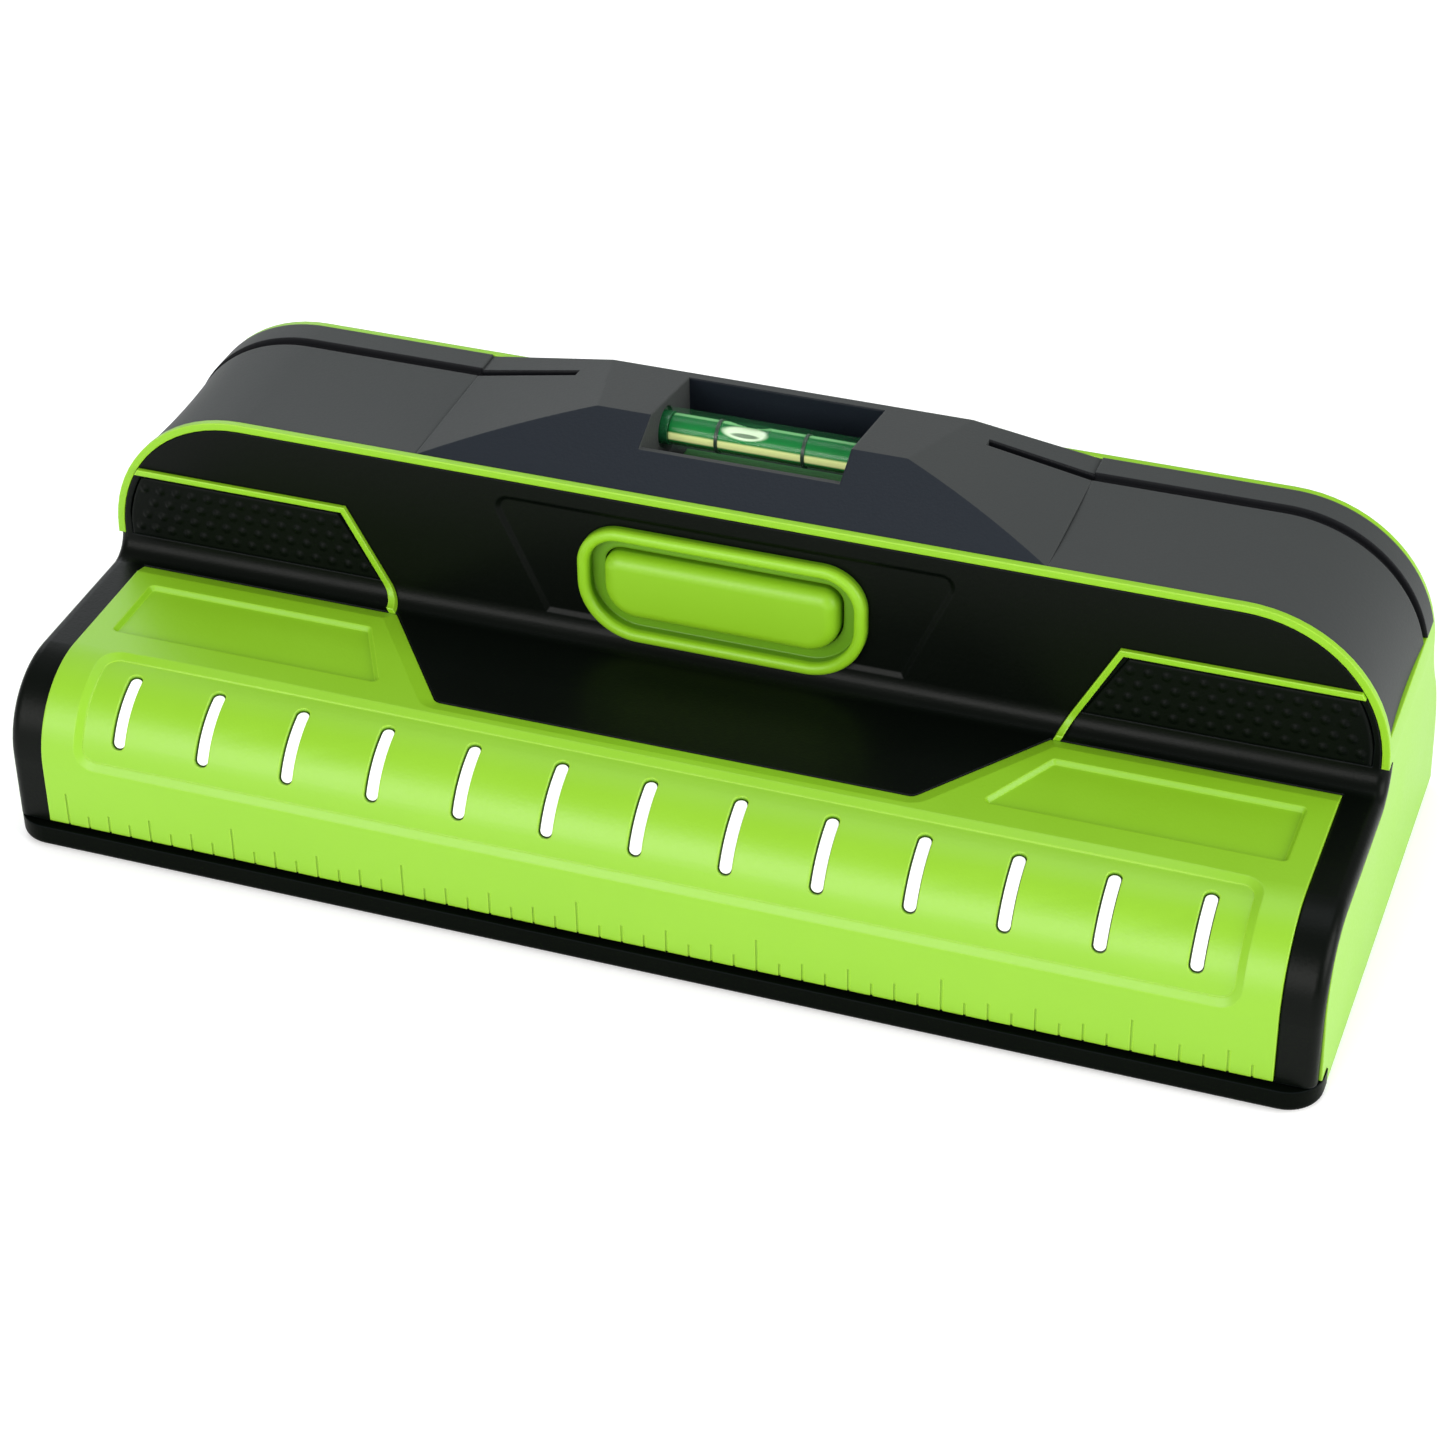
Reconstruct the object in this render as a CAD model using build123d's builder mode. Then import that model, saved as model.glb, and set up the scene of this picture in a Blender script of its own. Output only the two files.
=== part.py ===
from build123d import *
from math import asin, copysign, cos, degrees, radians, sin
import os

# Wide multi-indicator stud finder, in millimetres.
# +X runs along the ruler edge, -Y is the ruler edge, +Z points away from the wall face.
# The origin is at the centre of the underside.

# ---- driving dimensions -------------------------------------------------------------------
length = 186.0              # over the rim of the base
depth = 77.0                # ruler edge to the foot of the rear wall
height = 55.4               # underside to the top of the level block

rim_height = 3.4            # edge of the base plate
rim_corner = 5.0
wall_setback = 1.4          # the ruler wall stands this far behind the rim
round_radius = 12.0         # quarter round from ruler wall to shelf
shelf_height = 25.5
corner_radius = 3.0         # hollow between shelf and grip face
grip_front = -0.5           # Y of the grip's front face
grip_rear = 30.0            # Y of the grip's rear face
arch_top = 50.0             # top of the green rims
arch_radius = 20.8
draft_top = 28.0            # the sides lean out below this height
half_foot = 92.9            # half width of the housing at its foot
half_top = 92.3             # and at the grip, after the draft

roof = 65.0                 # sections are drawn this high, then trimmed by the arch
foot_gap = 0.6              # housing walls stop this far above the surface
rim_width = 1.0             # green rims, along Y
rim_edge = 1.05             # green rims, seen from the front
front_skin = 2.0            # thickness of the black front
seam = 0.15                 # joint line between two mouldings
shell_inset = 3.2           # roof and side walls, to the inside
wall = 2.0                  # rear wall and other mouldings
band_depth = 1.8            # soft band, sunk into the housing
band_foot = 33.0            # height at which the soft band ends on the sides

inch = 25.4
indicator_count = 13
indicator_pitch = 12.62
slot_width = 2.1
slot_start = 104.5          # angles on the quarter round
slot_end = 159.5
end_share = 0.48            # radius of a slot's rounded ends, as a share of its width

button_travel = 1.0
battery_radius = 7.1
battery_length = 50.5
battery_height = 10.9       # axis of both cells
battery_rows = (4.4, 19.6)  # Y of the two cells

# ---- derived places -----------------------------------------------------------------------
front_edge = -depth / 2
rear_edge = depth / 2
wall_face = front_edge + wall_setback
round_centre = (wall_face + round_radius, shelf_height - round_radius)
corner_centre = (grip_front - corner_radius, shelf_height + corner_radius)
corner_top = corner_centre[1]

# The rear wall swings out from the grip to the foot in two equal arcs.
swing_top = 33.0
swing_foot = 8.0
swing_out = rear_edge - grip_rear
swing_drop = swing_top - swing_foot
swing_radius = (swing_out ** 2 + swing_drop ** 2) / (4 * swing_out)
swing_angle = degrees(asin(swing_drop / (2 * swing_radius)))

indicator_xs = [indicator_pitch * (i - (indicator_count - 1) / 2) for i in range(indicator_count)]
sides = (("left", -1), ("right", 1))
os.makedirs("parts", exist_ok=True)


def save(builder, name):
    builder.part.label = name
    export_step(builder.part, f"parts/{name}.step")


def front_plane(y):
    # Looking along +Y at height Z over width X. A negative extrude amount goes towards +Y.
    return Plane.XZ.offset(-y)


def body_section(inset, foot):
    # Side view of the whole body, set in from its outer face.
    with BuildSketch(Plane.YZ) as section:
        with BuildLine():
            front = CenterArc(round_centre, round_radius - inset, 90, 90)
            corner = CenterArc(corner_centre, corner_radius + inset, -90, 90)
            hollow = CenterArc((grip_rear + swing_radius, swing_top), swing_radius + inset, 180, swing_angle)
            bulge = CenterArc((rear_edge - swing_radius, swing_foot), swing_radius - inset, 0, swing_angle)
            Line(front @ 0, corner @ 0)
            Polyline(corner @ 1, (grip_front + inset, roof), (grip_rear - inset, roof), hollow @ 0)
            Polyline(bulge @ 0, (rear_edge - inset, foot), (wall_face + inset, foot), front @ 1)
        make_face()
    return section.sketch


def arch_outline(inset, y, foot):
    # Front view of the body: drafted sides and a flat top with round shoulders.
    with BuildSketch(front_plane(y)) as outline:
        with BuildLine():
            side_top = half_top - inset
            half = [(half_foot - inset, foot), (side_top, draft_top), (side_top, arch_top - inset)]
            Polyline(half + [(-x, z) for x, z in reversed(half)], close=True)
        make_face()
        fillet(outline.vertices().group_by(Axis.Y)[-1], arch_radius - inset)
    return outline.sketch


def skin(outer, inner, foot):
    # A shell that follows the body's outer face, between two insets, as an endless extrusion.
    with BuildPart() as layer:
        extrude(body_section(outer, foot), amount=length, both=True)
        extrude(body_section(inner, foot - 1), amount=length, both=True, mode=Mode.SUBTRACT)
        with BuildSketch(Plane.YZ):
            with Locations((grip_front + inner, foot)):
                Rectangle(depth, 2 * roof, align=(Align.MIN, Align.CENTER))
        extrude(amount=length, both=True, mode=Mode.SUBTRACT)
    return layer.part


# ---- base plate ---------------------------------------------------------------------------
plate_thickness = 2.4
plate_gap = 0.2                     # between the base plate and the housing walls
corner_boss = 85.0                  # X of the screws at the corners
screw_places = [(x, y) for x in (-corner_boss, corner_boss) for y in (-29.0, 27.0)]
screw_places += [(-45.0, 31.5), (45.0, 31.5)]
screw_radius = 1.3
screw_head = 2.5
head_depth = 1.4
board_places = [(x, y) for x in (-72.0, 72.0) for y in (-30.0, -8.0)]
board_foot = 5.0                    # underside of the sensor board
standoff_radius = 2.4
pilot_radius = 0.9                  # bores for the small screws
board_hole = 1.1                    # clearance holes in the boards

door_half = 28.0                    # visible width of the battery door, halved
door_front = -5.0
door_skin = 1.2                     # lower, visible part of the door
runner = 1.6                        # how far the runners reach sideways
door_clear = 0.2

base_inner_half = half_foot - shell_inset - plate_gap
base_inner_rear = rear_edge - wall - plate_gap
rim_return = 6.5                    # the rim runs round the front corners this far back

with BuildPart() as base_plate:
    with BuildSketch():
        with Locations((0, front_edge)):
            Rectangle(length, rim_return, align=(Align.CENTER, Align.MIN))
        with Locations((0, front_edge + rim_return)):
            Rectangle(2 * base_inner_half, base_inner_rear - front_edge - rim_return,
                      align=(Align.CENTER, Align.MIN))
    extrude(amount=rim_height)
    front_corners = base_plate.edges().filter_by(Axis.Z).group_by(Axis.Y)[0]
    fillet(front_corners, rim_corner)
    # The middle is thinner than the rim.
    with BuildSketch(Plane.XY.offset(plate_thickness)):
        with Locations((0, front_edge + 2 * wall)):
            Rectangle(2 * (base_inner_half - wall), base_inner_rear - front_edge - 3 * wall,
                      align=(Align.CENTER, Align.MIN))
    extrude(amount=rim_height, mode=Mode.SUBTRACT)
    # Rounded lower edge, which slides over paint.
    lower_edges = base_plate.edges().filter_by(GeomType.LINE).filter_by(Axis.X).group_by(Axis.Z)[0]
    fillet(lower_edges.group_by(Axis.Y)[0], 1.0)
    # Door opening: a narrow mouth below and a wider runway above, open to the rear.
    with BuildSketch():
        with Locations((0, door_front)):
            Rectangle(2 * (door_half + door_clear), depth, align=(Align.CENTER, Align.MIN))
    extrude(amount=rim_height, mode=Mode.SUBTRACT)
    with BuildSketch(Plane.XY.offset(foot_gap + door_skin)):
        with Locations((0, door_front)):
            Rectangle(2 * (door_half + runner + door_clear), depth, align=(Align.CENTER, Align.MIN))
    extrude(amount=rim_height, mode=Mode.SUBTRACT)
    with BuildSketch(Plane.XY.offset(plate_thickness)):
        with Locations(*board_places):
            Circle(standoff_radius)
    extrude(amount=board_foot - plate_thickness)
    with Locations(*[(x, y, board_foot) for x, y in board_places]):
        Hole(pilot_radius, depth=board_foot - 1)
    with Locations(*[Location((x, y, 0), (180, 0, 0)) for x, y in screw_places]):
        CounterBoreHole(screw_radius, screw_head + 0.2, head_depth + 0.4, depth=rim_height + 1)
save(base_plate, "base_plate")

# ---- battery door -------------------------------------------------------------------------
thumb_ribs = 4
with BuildPart() as battery_door:
    with BuildSketch(Plane.XY.offset(foot_gap)):
        with Locations((0, door_front + door_clear)):
            Rectangle(2 * door_half, rear_edge - door_front - door_clear, align=(Align.CENTER, Align.MIN))
    extrude(amount=door_skin + door_clear / 2)
    with BuildSketch(Plane.XY.offset(foot_gap + door_skin + door_clear / 2)):
        with Locations((0, door_front + door_clear)):
            Rectangle(2 * (door_half + runner), base_inner_rear - door_front - door_clear,
                      align=(Align.CENTER, Align.MIN))
    extrude(amount=rim_height - foot_gap - door_skin - 2 * door_clear)
    fillet(battery_door.edges().filter_by(Axis.X).group_by(Axis.Y)[-1], 0.5)
    # Thumb grip on the underside.
    with BuildSketch(Plane.XY.offset(foot_gap)):
        with GridLocations(0, 1.6, 1, thumb_ribs):
            with Locations((0, rear_edge - 8)):
                SlotOverall(24, 0.8)
    extrude(amount=0.5, mode=Mode.SUBTRACT)
save(battery_door, "battery_door")

# ---- green housing ------------------------------------------------------------------------
boss_radius = 3.4
boss_height = 11.0
screw_bite = 7.0
cup_half = 16.4                     # level cup that hangs through the roof
cup_foot = 44.5
cup_front = 6.3
cup_rear = 28.4
band_front = grip_front + rim_width
band_rear = grip_rear - rim_width

with BuildPart() as cavity:
    extrude(body_section(wall, -1), amount=length, both=True)
    with BuildSketch(Plane.YZ):
        with Locations((grip_front + 2 * wall, -1)):
            Rectangle(depth, roof, align=(Align.MAX, Align.MIN))
    extrude(amount=length, both=True)
    extrude(arch_outline(shell_inset, 0, -2), amount=depth, both=True, mode=Mode.INTERSECT)

with BuildPart() as housing_shell:
    extrude(body_section(front_skin + seam, foot_gap), amount=length, both=True)
    with BuildSketch(Plane.YZ):
        with Locations((grip_front, corner_top)):
            Rectangle(rim_width + wall, roof, align=(Align.MIN, Align.MIN))
    extrude(amount=length, both=True)
    with BuildSketch(Plane.YZ):
        with BuildLine():
            hollow = CenterArc((grip_rear + swing_radius, swing_top), swing_radius, 180, swing_angle)
            bulge = CenterArc((rear_edge - swing_radius, swing_foot), swing_radius, 0, swing_angle)
            shell_start = grip_front + 3 * wall
            Polyline(
                bulge @ 0, (rear_edge, foot_gap), (shell_start, foot_gap), (shell_start, roof),
                (grip_rear, roof), hollow @ 0,
            )
        make_face()
    extrude(amount=length, both=True)
    extrude(arch_outline(0, 0, 0), amount=depth, both=True, mode=Mode.INTERSECT)
    add(cavity.part, mode=Mode.SUBTRACT)
    # Seat of the black front, behind a thin green rim.
    extrude(arch_outline(rim_edge, grip_front, shelf_height), amount=-rim_width, mode=Mode.SUBTRACT)
    # Channel for the soft band.
    with BuildPart(mode=Mode.PRIVATE) as channel:
        extrude(arch_outline(-1, band_front, 0), amount=band_front - band_rear)
        extrude(arch_outline(band_depth, band_front, 0), amount=band_front - band_rear, mode=Mode.SUBTRACT)
        with BuildSketch(Plane.XY.offset(band_foot)):
            Rectangle(2 * length, 2 * depth)
        extrude(amount=-depth, mode=Mode.SUBTRACT)
    add(channel.part, mode=Mode.SUBTRACT)
    # Opening for the level cup.
    with BuildSketch(Plane.XY.offset(arch_top)):
        with Locations((0, cup_front - seam)):
            Rectangle(2 * (cup_half + seam), cup_rear - cup_front + 2 * seam,
                      align=(Align.CENTER, Align.MIN))
    extrude(amount=cup_foot - seam - arch_top, mode=Mode.SUBTRACT)
    # The rim of the base runs round the front corners.
    with BuildSketch(Plane.XY):
        with Locations((0, front_edge)):
            Rectangle(2 * length, rim_return + plate_gap, align=(Align.CENTER, Align.MIN))
    extrude(amount=rim_height + plate_gap, mode=Mode.SUBTRACT)
    # The battery door leaves under the rear wall.
    with BuildSketch(Plane.XY):
        with Locations((0, rear_edge)):
            Rectangle(2 * (door_half + runner + door_clear), 3 * wall, align=(Align.CENTER, Align.CENTER))
    extrude(amount=rim_height - door_clear / 2, mode=Mode.SUBTRACT)
    # Screw bosses, joined to the side and rear walls.
    with BuildSketch(Plane.XY.offset(rim_height + seam)):
        for x, y in screw_places:
            if y > 0:
                with Locations((x, y)):
                    Circle(boss_radius)
                arm = boss_radius + wall
                if abs(x) == corner_boss:
                    with Locations((x + copysign(arm / 2, x), y)):
                        Rectangle(arm, 2 * boss_radius)
                else:
                    with Locations((x, y + arm / 2)):
                        Rectangle(2 * boss_radius, arm)
    extrude(amount=boss_height)
    with Locations(*[Location((x, y, rim_height + seam), (180, 0, 0)) for x, y in screw_places if y > 0]):
        Hole(screw_radius, depth=screw_bite + 1)
    # Nothing of the bosses stands outside the body.
    extrude(body_section(0, foot_gap), amount=length, both=True, mode=Mode.INTERSECT)
save(housing_shell, "housing_shell")


# ---- outlines shared by the front and what it carries -------------------------------------
plate_half = 87.0
plate_top = grip_front - corner_radius - 0.1    # Y of the plate's upper edge, at the hollow
plate_foot = 4.1
plate_proud = 0.5
plate_depth = 0.9                   # how deep the plate sits in the front
notch_wide = 47.6                   # notch in the plate, at its upper edge
notch_narrow = 34.0
notch_front = -21.7
notch_round = 1.5

bezel_top = 44.5
bezel_foot = 26.8
bezel_half = 20.8
bezel_round_top = 6.3
bezel_round_foot = 8.7
bezel_proud = 1.3
bezel_flange = 1.5

pad_foot = corner_top + 0.1
pad_top = 38.7
pad_foot_inner = 50.9
pad_top_inner = 56.9
pad_outer = 90.0
pad_sunk = 0.8
pad_proud = 0.3
trim_width = 0.85
trim_proud = 0.6
trim_depth = 0.8
trim_line = [(47.6, 24.0), (56.0, 39.5), (half_foot, 39.5)]


def plate_outline(grow):
    # Plan of the ruler plate; its quarter round and wall hang below this.
    half = [
        (plate_half, front_edge - 5), (plate_half, plate_top),
        (notch_wide, plate_top), (notch_narrow, notch_front),
    ]
    with BuildSketch() as outline:
        with BuildLine():
            Polyline(half + [(-x, y) for x, y in reversed(half)], close=True)
        make_face()
        fillet(outline.vertices().group_by(Axis.Y)[1], notch_round)
        if grow:
            offset(amount=grow, kind=Kind.INTERSECTION)
    return outline.sketch


def plate_layer(outer, inner, grow):
    # A layer of the body's skin, cut to the outline of the ruler plate.
    with BuildPart() as layer:
        add(skin(outer, inner, plate_foot - grow))
        extrude(plate_outline(grow), amount=corner_top, mode=Mode.INTERSECT)
    return layer.part


def button_outline(inset, y):
    # Rounded outline of the bezel and what sits inside it, drawn on the grip face.
    with BuildSketch(front_plane(y)) as outline:
        with Locations((0, (bezel_top + bezel_foot) / 2)):
            Rectangle(2 * (bezel_half - inset), bezel_top - bezel_foot - 2 * inset)
        fillet(outline.vertices().group_by(Axis.Y)[-1], bezel_round_top - inset)
        fillet(outline.vertices().group_by(Axis.Y)[0], bezel_round_foot - inset)
    return outline.sketch


def pad_block(side, front, rear, grow):
    # A grip pad; its outer end follows the green rim.
    corners = [
        (pad_foot_inner, pad_foot), (pad_top_inner, pad_top),
        (pad_outer, pad_top), (pad_outer, pad_foot),
    ]
    with BuildPart() as block:
        with BuildSketch(front_plane(front)):
            with BuildLine():
                Polyline([(side * x, z) for x, z in corners], close=True)
            make_face()
            if grow:
                offset(amount=grow, kind=Kind.INTERSECTION)
        extrude(amount=front - rear)
        extrude(arch_outline(rim_edge + 1 - grow, 0, 0), amount=depth, both=True, mode=Mode.INTERSECT)
    return block.part


def trim_strip(side, outer, inner, grow):
    # The green bead that frames a grip pad: up from the plate's knee, then out to the rim.
    with BuildPart() as strip:
        with BuildSketch(front_plane(plate_top + seam)):
            with BuildLine():
                Polyline([(side * x, z) for x, z in trim_line])
            trace(line_width=trim_width + 2 * grow)
        extrude(amount=-depth / 4)
        add(skin(outer, inner, foot_gap), mode=Mode.INTERSECT)
        extrude(arch_outline(rim_edge + seam, 0, 0), amount=depth, both=True, mode=Mode.INTERSECT)
    return strip.part


def round_sector(x, width, inner, outer, start, end, end_round):
    # A block between two radii of the quarter round, with rounded ends.
    with BuildPart() as block:
        with BuildSketch(Plane.YZ.offset(x - width / 2)):
            with BuildLine():
                low = CenterArc(round_centre, inner, start, end - start)
                high = CenterArc(round_centre, outer, start, end - start)
                Line(low @ 0, high @ 0)
                Line(low @ 1, high @ 1)
            make_face()
        extrude(amount=width)
        if end_round:
            fillet(block.edges().filter_by(GeomType.LINE).filter_by(Axis.X, reverse=True), end_round)
    return block.part


# ---- black front --------------------------------------------------------------------------
frame_round = 1.6                   # outer edges of the black end frames
frame_half = 92.4
panel_foot = rim_height + 0.2
lens_bay_half = 79.5
lens_bay = (100.0, 167.0)           # angles of the bay behind the indicators
scoop_top = 46.4
scoop_half_top = 34.0
scoop_half_foot = 26.0
scoop_slope = 60                    # degrees, its soft edge
scoop_depth = 0.4
post_places = [(-31.0, 34.0), (31.0, 34.0)]
post_radius = 2.2
post_bore = 4.0
front_boss_top = 21.0
switch_board_y = 7.6
cheek_x = 80.2                      # ribs that hold the indicator board's ends
cheek_width = 1.3

with BuildPart() as front_panel:
    # End frames, quarter round and shelf.
    add(skin(0, front_skin, panel_foot))
    with BuildSketch(Plane.YZ):
        with Locations((wall_face - 1, panel_foot)):
            Rectangle(depth, corner_top - panel_foot, align=(Align.MIN, Align.MIN))
    extrude(amount=frame_half, both=True, mode=Mode.INTERSECT)
    end_edges = front_panel.edges().filter_by(lambda e: abs(abs(e.center().X) - frame_half) < 0.01)
    outer_edges = end_edges.filter_by(
        lambda e: any(
            abs(v.Y - wall_face) < 0.01 or abs(v.Z - shelf_height) < 0.01 for v in e.vertices()
        )
    ).filter_by(lambda e: e.center().Z > panel_foot + 0.1)
    fillet(outer_edges, frame_round)
    # Grip face, inside the green rim.
    with BuildPart(mode=Mode.PRIVATE) as grip_face:
        extrude(arch_outline(rim_edge + seam, grip_front, shelf_height), amount=seam / 3 - rim_width)
        extrude(arch_outline(shell_inset + seam, grip_front, shelf_height), amount=-front_skin)
        with BuildSketch(Plane.XY.offset(corner_top)):
            Rectangle(2 * length, 2 * depth)
        extrude(amount=-depth, mode=Mode.SUBTRACT)
    add(grip_face.part)
    # Thumb scoop around the button.
    with BuildSketch(front_plane(grip_front)) as scoop:
        with BuildLine():
            Polyline(
                (-scoop_half_foot, corner_top), (-scoop_half_top, scoop_top),
                (scoop_half_top, scoop_top), (scoop_half_foot, corner_top), close=True,
            )
        make_face()
        fillet(scoop.vertices().group_by(Axis.Y)[-1], 2.0)
    extrude(amount=-scoop_depth, mode=Mode.SUBTRACT, taper=scoop_slope)
    # Seats of the plate, pads, trims and bezel, and the bay behind the indicators.
    add(plate_layer(-1, plate_depth + 0.05, seam), mode=Mode.SUBTRACT)
    for side in (-1, 1):
        add(pad_block(side, grip_front - 1, grip_front + pad_sunk, 0.05), mode=Mode.SUBTRACT)
        add(trim_strip(side, -1, trim_depth, 0.05), mode=Mode.SUBTRACT)
    extrude(button_outline(-0.05, grip_front - 2), amount=-3 * front_skin, mode=Mode.SUBTRACT)
    add(round_sector(0, 2 * lens_bay_half, 9, 14, *lens_bay, 0), mode=Mode.SUBTRACT)
    # Bosses, switch board posts and cheeks.
    with BuildSketch(Plane.XY.offset(panel_foot)):
        with Locations(*[(x, y) for x, y in screw_places if y < 0]):
            Circle(boss_radius)
    extrude(amount=front_boss_top - panel_foot)
    with Locations(*[Location((x, y, panel_foot), (180, 0, 0)) for x, y in screw_places if y < 0]):
        Hole(screw_radius, depth=screw_bite + 1)
    with BuildSketch(front_plane(grip_front + front_skin - 0.2)):
        with Locations(*post_places):
            Circle(post_radius)
    extrude(amount=grip_front + front_skin - 0.2 - switch_board_y)
    with Locations(*[Location((x, switch_board_y, z), (-90, 0, 0)) for x, z in post_places]):
        Hole(pilot_radius, depth=post_bore)
    for side in (-1, 1):
        add(round_sector(side * (cheek_x + cheek_width / 2), cheek_width, 3, 10.5, 105, 165, 0))
save(front_panel, "front_panel")

# ---- ruler plate --------------------------------------------------------------------------
window_half = 81.0
window_foot = 15.3
window_rear = -26.1
window_depth = 0.7
pocket_depth = 0.6
pocket_slope = 40               # degrees, walls of the pockets
edge_drop = 0.6                 # sloped border along the notch and the upper edge
edge_run = 2.2
window_run = 1.1                # its sloped edge
window_drop = 0.6
window_corner = 2.0
pocket_corners = [(83.5, -20.6), (83.5, -8.4), (49.3, -8.4), (42.7, -20.6)]
ruler_zero = -83.95
tick_width = 0.35
tick_depth = 0.2
tick_lengths = {8: 5.2, 4: 3.6, 2: 2.8, 1: 2.0}     # every inch, half, quarter and eighth

plate_face = shelf_height + plate_proud

with BuildPart() as ruler_plate:
    add(plate_layer(-plate_proud, plate_depth, 0))
    # Shallow window over the quarter round.
    with BuildPart(mode=Mode.PRIVATE) as window:
        add(skin(-2 * plate_proud, window_depth - plate_proud, foot_gap))
        with BuildSketch(Plane.XY.offset(window_foot)):
            with Locations((0, window_rear)):
                Rectangle(2 * window_half, depth, align=(Align.CENTER, Align.MAX))
        extrude(amount=depth, mode=Mode.INTERSECT)
        side_faces = window.faces().filter_by(Axis.X)
        fillet(side_faces.edges().filter_by(lambda e: e.length < 2), window_corner)
    add(window.part, mode=Mode.SUBTRACT)
    rounds = ruler_plate.faces().filter_by(GeomType.CYLINDER)
    round_face = rounds.filter_by(lambda f: abs(f.radius - round_radius - plate_proud) < 0.01)[0]
    chamfer(round_face.inner_wires()[0].edges(), window_run, window_drop, reference=round_face)
    # Sloped border along the notch and the upper edge.
    top_face = ruler_plate.faces().filter_by(Axis.Z).sort_by(Axis.Z)[-1]
    border = top_face.edges().filter_by(
        lambda e: e.center().Y > notch_front - notch_round and abs(e.center().X) < plate_half - 0.1
    )
    chamfer(border, edge_run, edge_drop, reference=top_face)
    for x in indicator_xs:
        slot = round_sector(x, slot_width, round_radius - wall, round_radius + wall,
                            slot_start, slot_end, slot_width * end_share)
        add(slot, mode=Mode.SUBTRACT)
    # Sunk fields left and right of the notch.
    with BuildSketch(Plane.XY.offset(plate_face)) as pockets:
        for side in (-1, 1):
            with BuildLine():
                Polyline([(side * x, y) for x, y in pocket_corners], close=True)
            make_face()
        fillet(pockets.vertices(), 0.8)
    extrude(amount=-pocket_depth, taper=pocket_slope, mode=Mode.SUBTRACT)
    # Scale along the lower edge.
    tick_count = int((plate_half - 1.5 - ruler_zero) / (inch / 8)) + 1
    with BuildSketch(front_plane(wall_face - plate_proud)):
        for i in range(tick_count):
            tick = next(tick_lengths[step] for step in tick_lengths if i % step == 0)
            with Locations((ruler_zero + i * inch / 8, plate_foot)):
                Rectangle(tick_width, tick, align=(Align.CENTER, Align.MIN))
    extrude(amount=-tick_depth, mode=Mode.SUBTRACT)
save(ruler_plate, "ruler_plate")

# ---- indicators ---------------------------------------------------------------------------
lens_front = round_radius - 0.8         # sunk below the window
lens_back = 6.8
lens_flange_front = round_radius - plate_depth - 0.1
lens_flange = 3.4
slot_play = 0.22
lens_width = slot_width - 2 * slot_play
play_angle = degrees(slot_play / round_radius)
flange_turn = 4.0                   # degrees the flange reaches past the slot's ends
flange_round = 0.6

for number, x in enumerate(indicator_xs, start=1):
    with BuildPart() as light_pipe:
        add(round_sector(x, lens_width, lens_back + 1, lens_front,
                         slot_start + play_angle, slot_end - play_angle, lens_width * end_share))
        add(round_sector(x, lens_flange, lens_back, lens_flange_front, slot_start - flange_turn,
                         slot_end + flange_turn, flange_round))
    save(light_pipe, f"light_pipe_{number:02d}")

lamp_angle = (slot_start + slot_end) / 2
lamp_board_radius = 4.6             # outer face of the indicator board, from the round's centre
lamp_board_half = cheek_x - 0.1
board_thickness = 1.0
lamp_height = 1.3


def lamp_plane(radius):
    # Faces outwards through the middle of the indicators.
    turn = radians(lamp_angle)
    centre = (0, round_centre[0] + radius * cos(turn), round_centre[1] + radius * sin(turn))
    return Plane(origin=centre, x_dir=(1, 0, 0), z_dir=(0, cos(turn), sin(turn)))


with BuildPart() as indicator_board:
    with BuildSketch(lamp_plane(lamp_board_radius)):
        Rectangle(2 * lamp_board_half, 8.0)
    extrude(amount=-board_thickness)
save(indicator_board, "indicator_board")

with BuildPart() as indicator_leds:
    with BuildSketch(lamp_plane(lamp_board_radius)):
        with GridLocations(indicator_pitch, 0, indicator_count, 1):
            Rectangle(1.6, 3.2)
    extrude(amount=lamp_height)
save(indicator_leds, "indicator_leds")

# ---- grip pads and their trims ------------------------------------------------------------
for name, side in sides:
    with BuildPart() as grip_pad:
        add(pad_block(side, grip_front - pad_proud, grip_front + pad_sunk, 0))
    save(grip_pad, f"grip_pad_{name}")
    with BuildPart() as pad_trim:
        add(trim_strip(side, -trim_proud, trim_depth, 0))
    save(pad_trim, f"pad_trim_{name}")

# ---- soft grip band -----------------------------------------------------------------------
hump_half = 45.0                    # the level block takes the band's place in the middle
band_lift = 0.05
band_joint = 0.03                   # close joint between band and level block
band_dip = 0.35                     # hollow of the band between rim and groove
groove_y = 23.9
groove_width = 1.5
groove_depth = 1.0
band_inner = band_depth - band_lift
band_line_radius = arch_radius - band_inner

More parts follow.
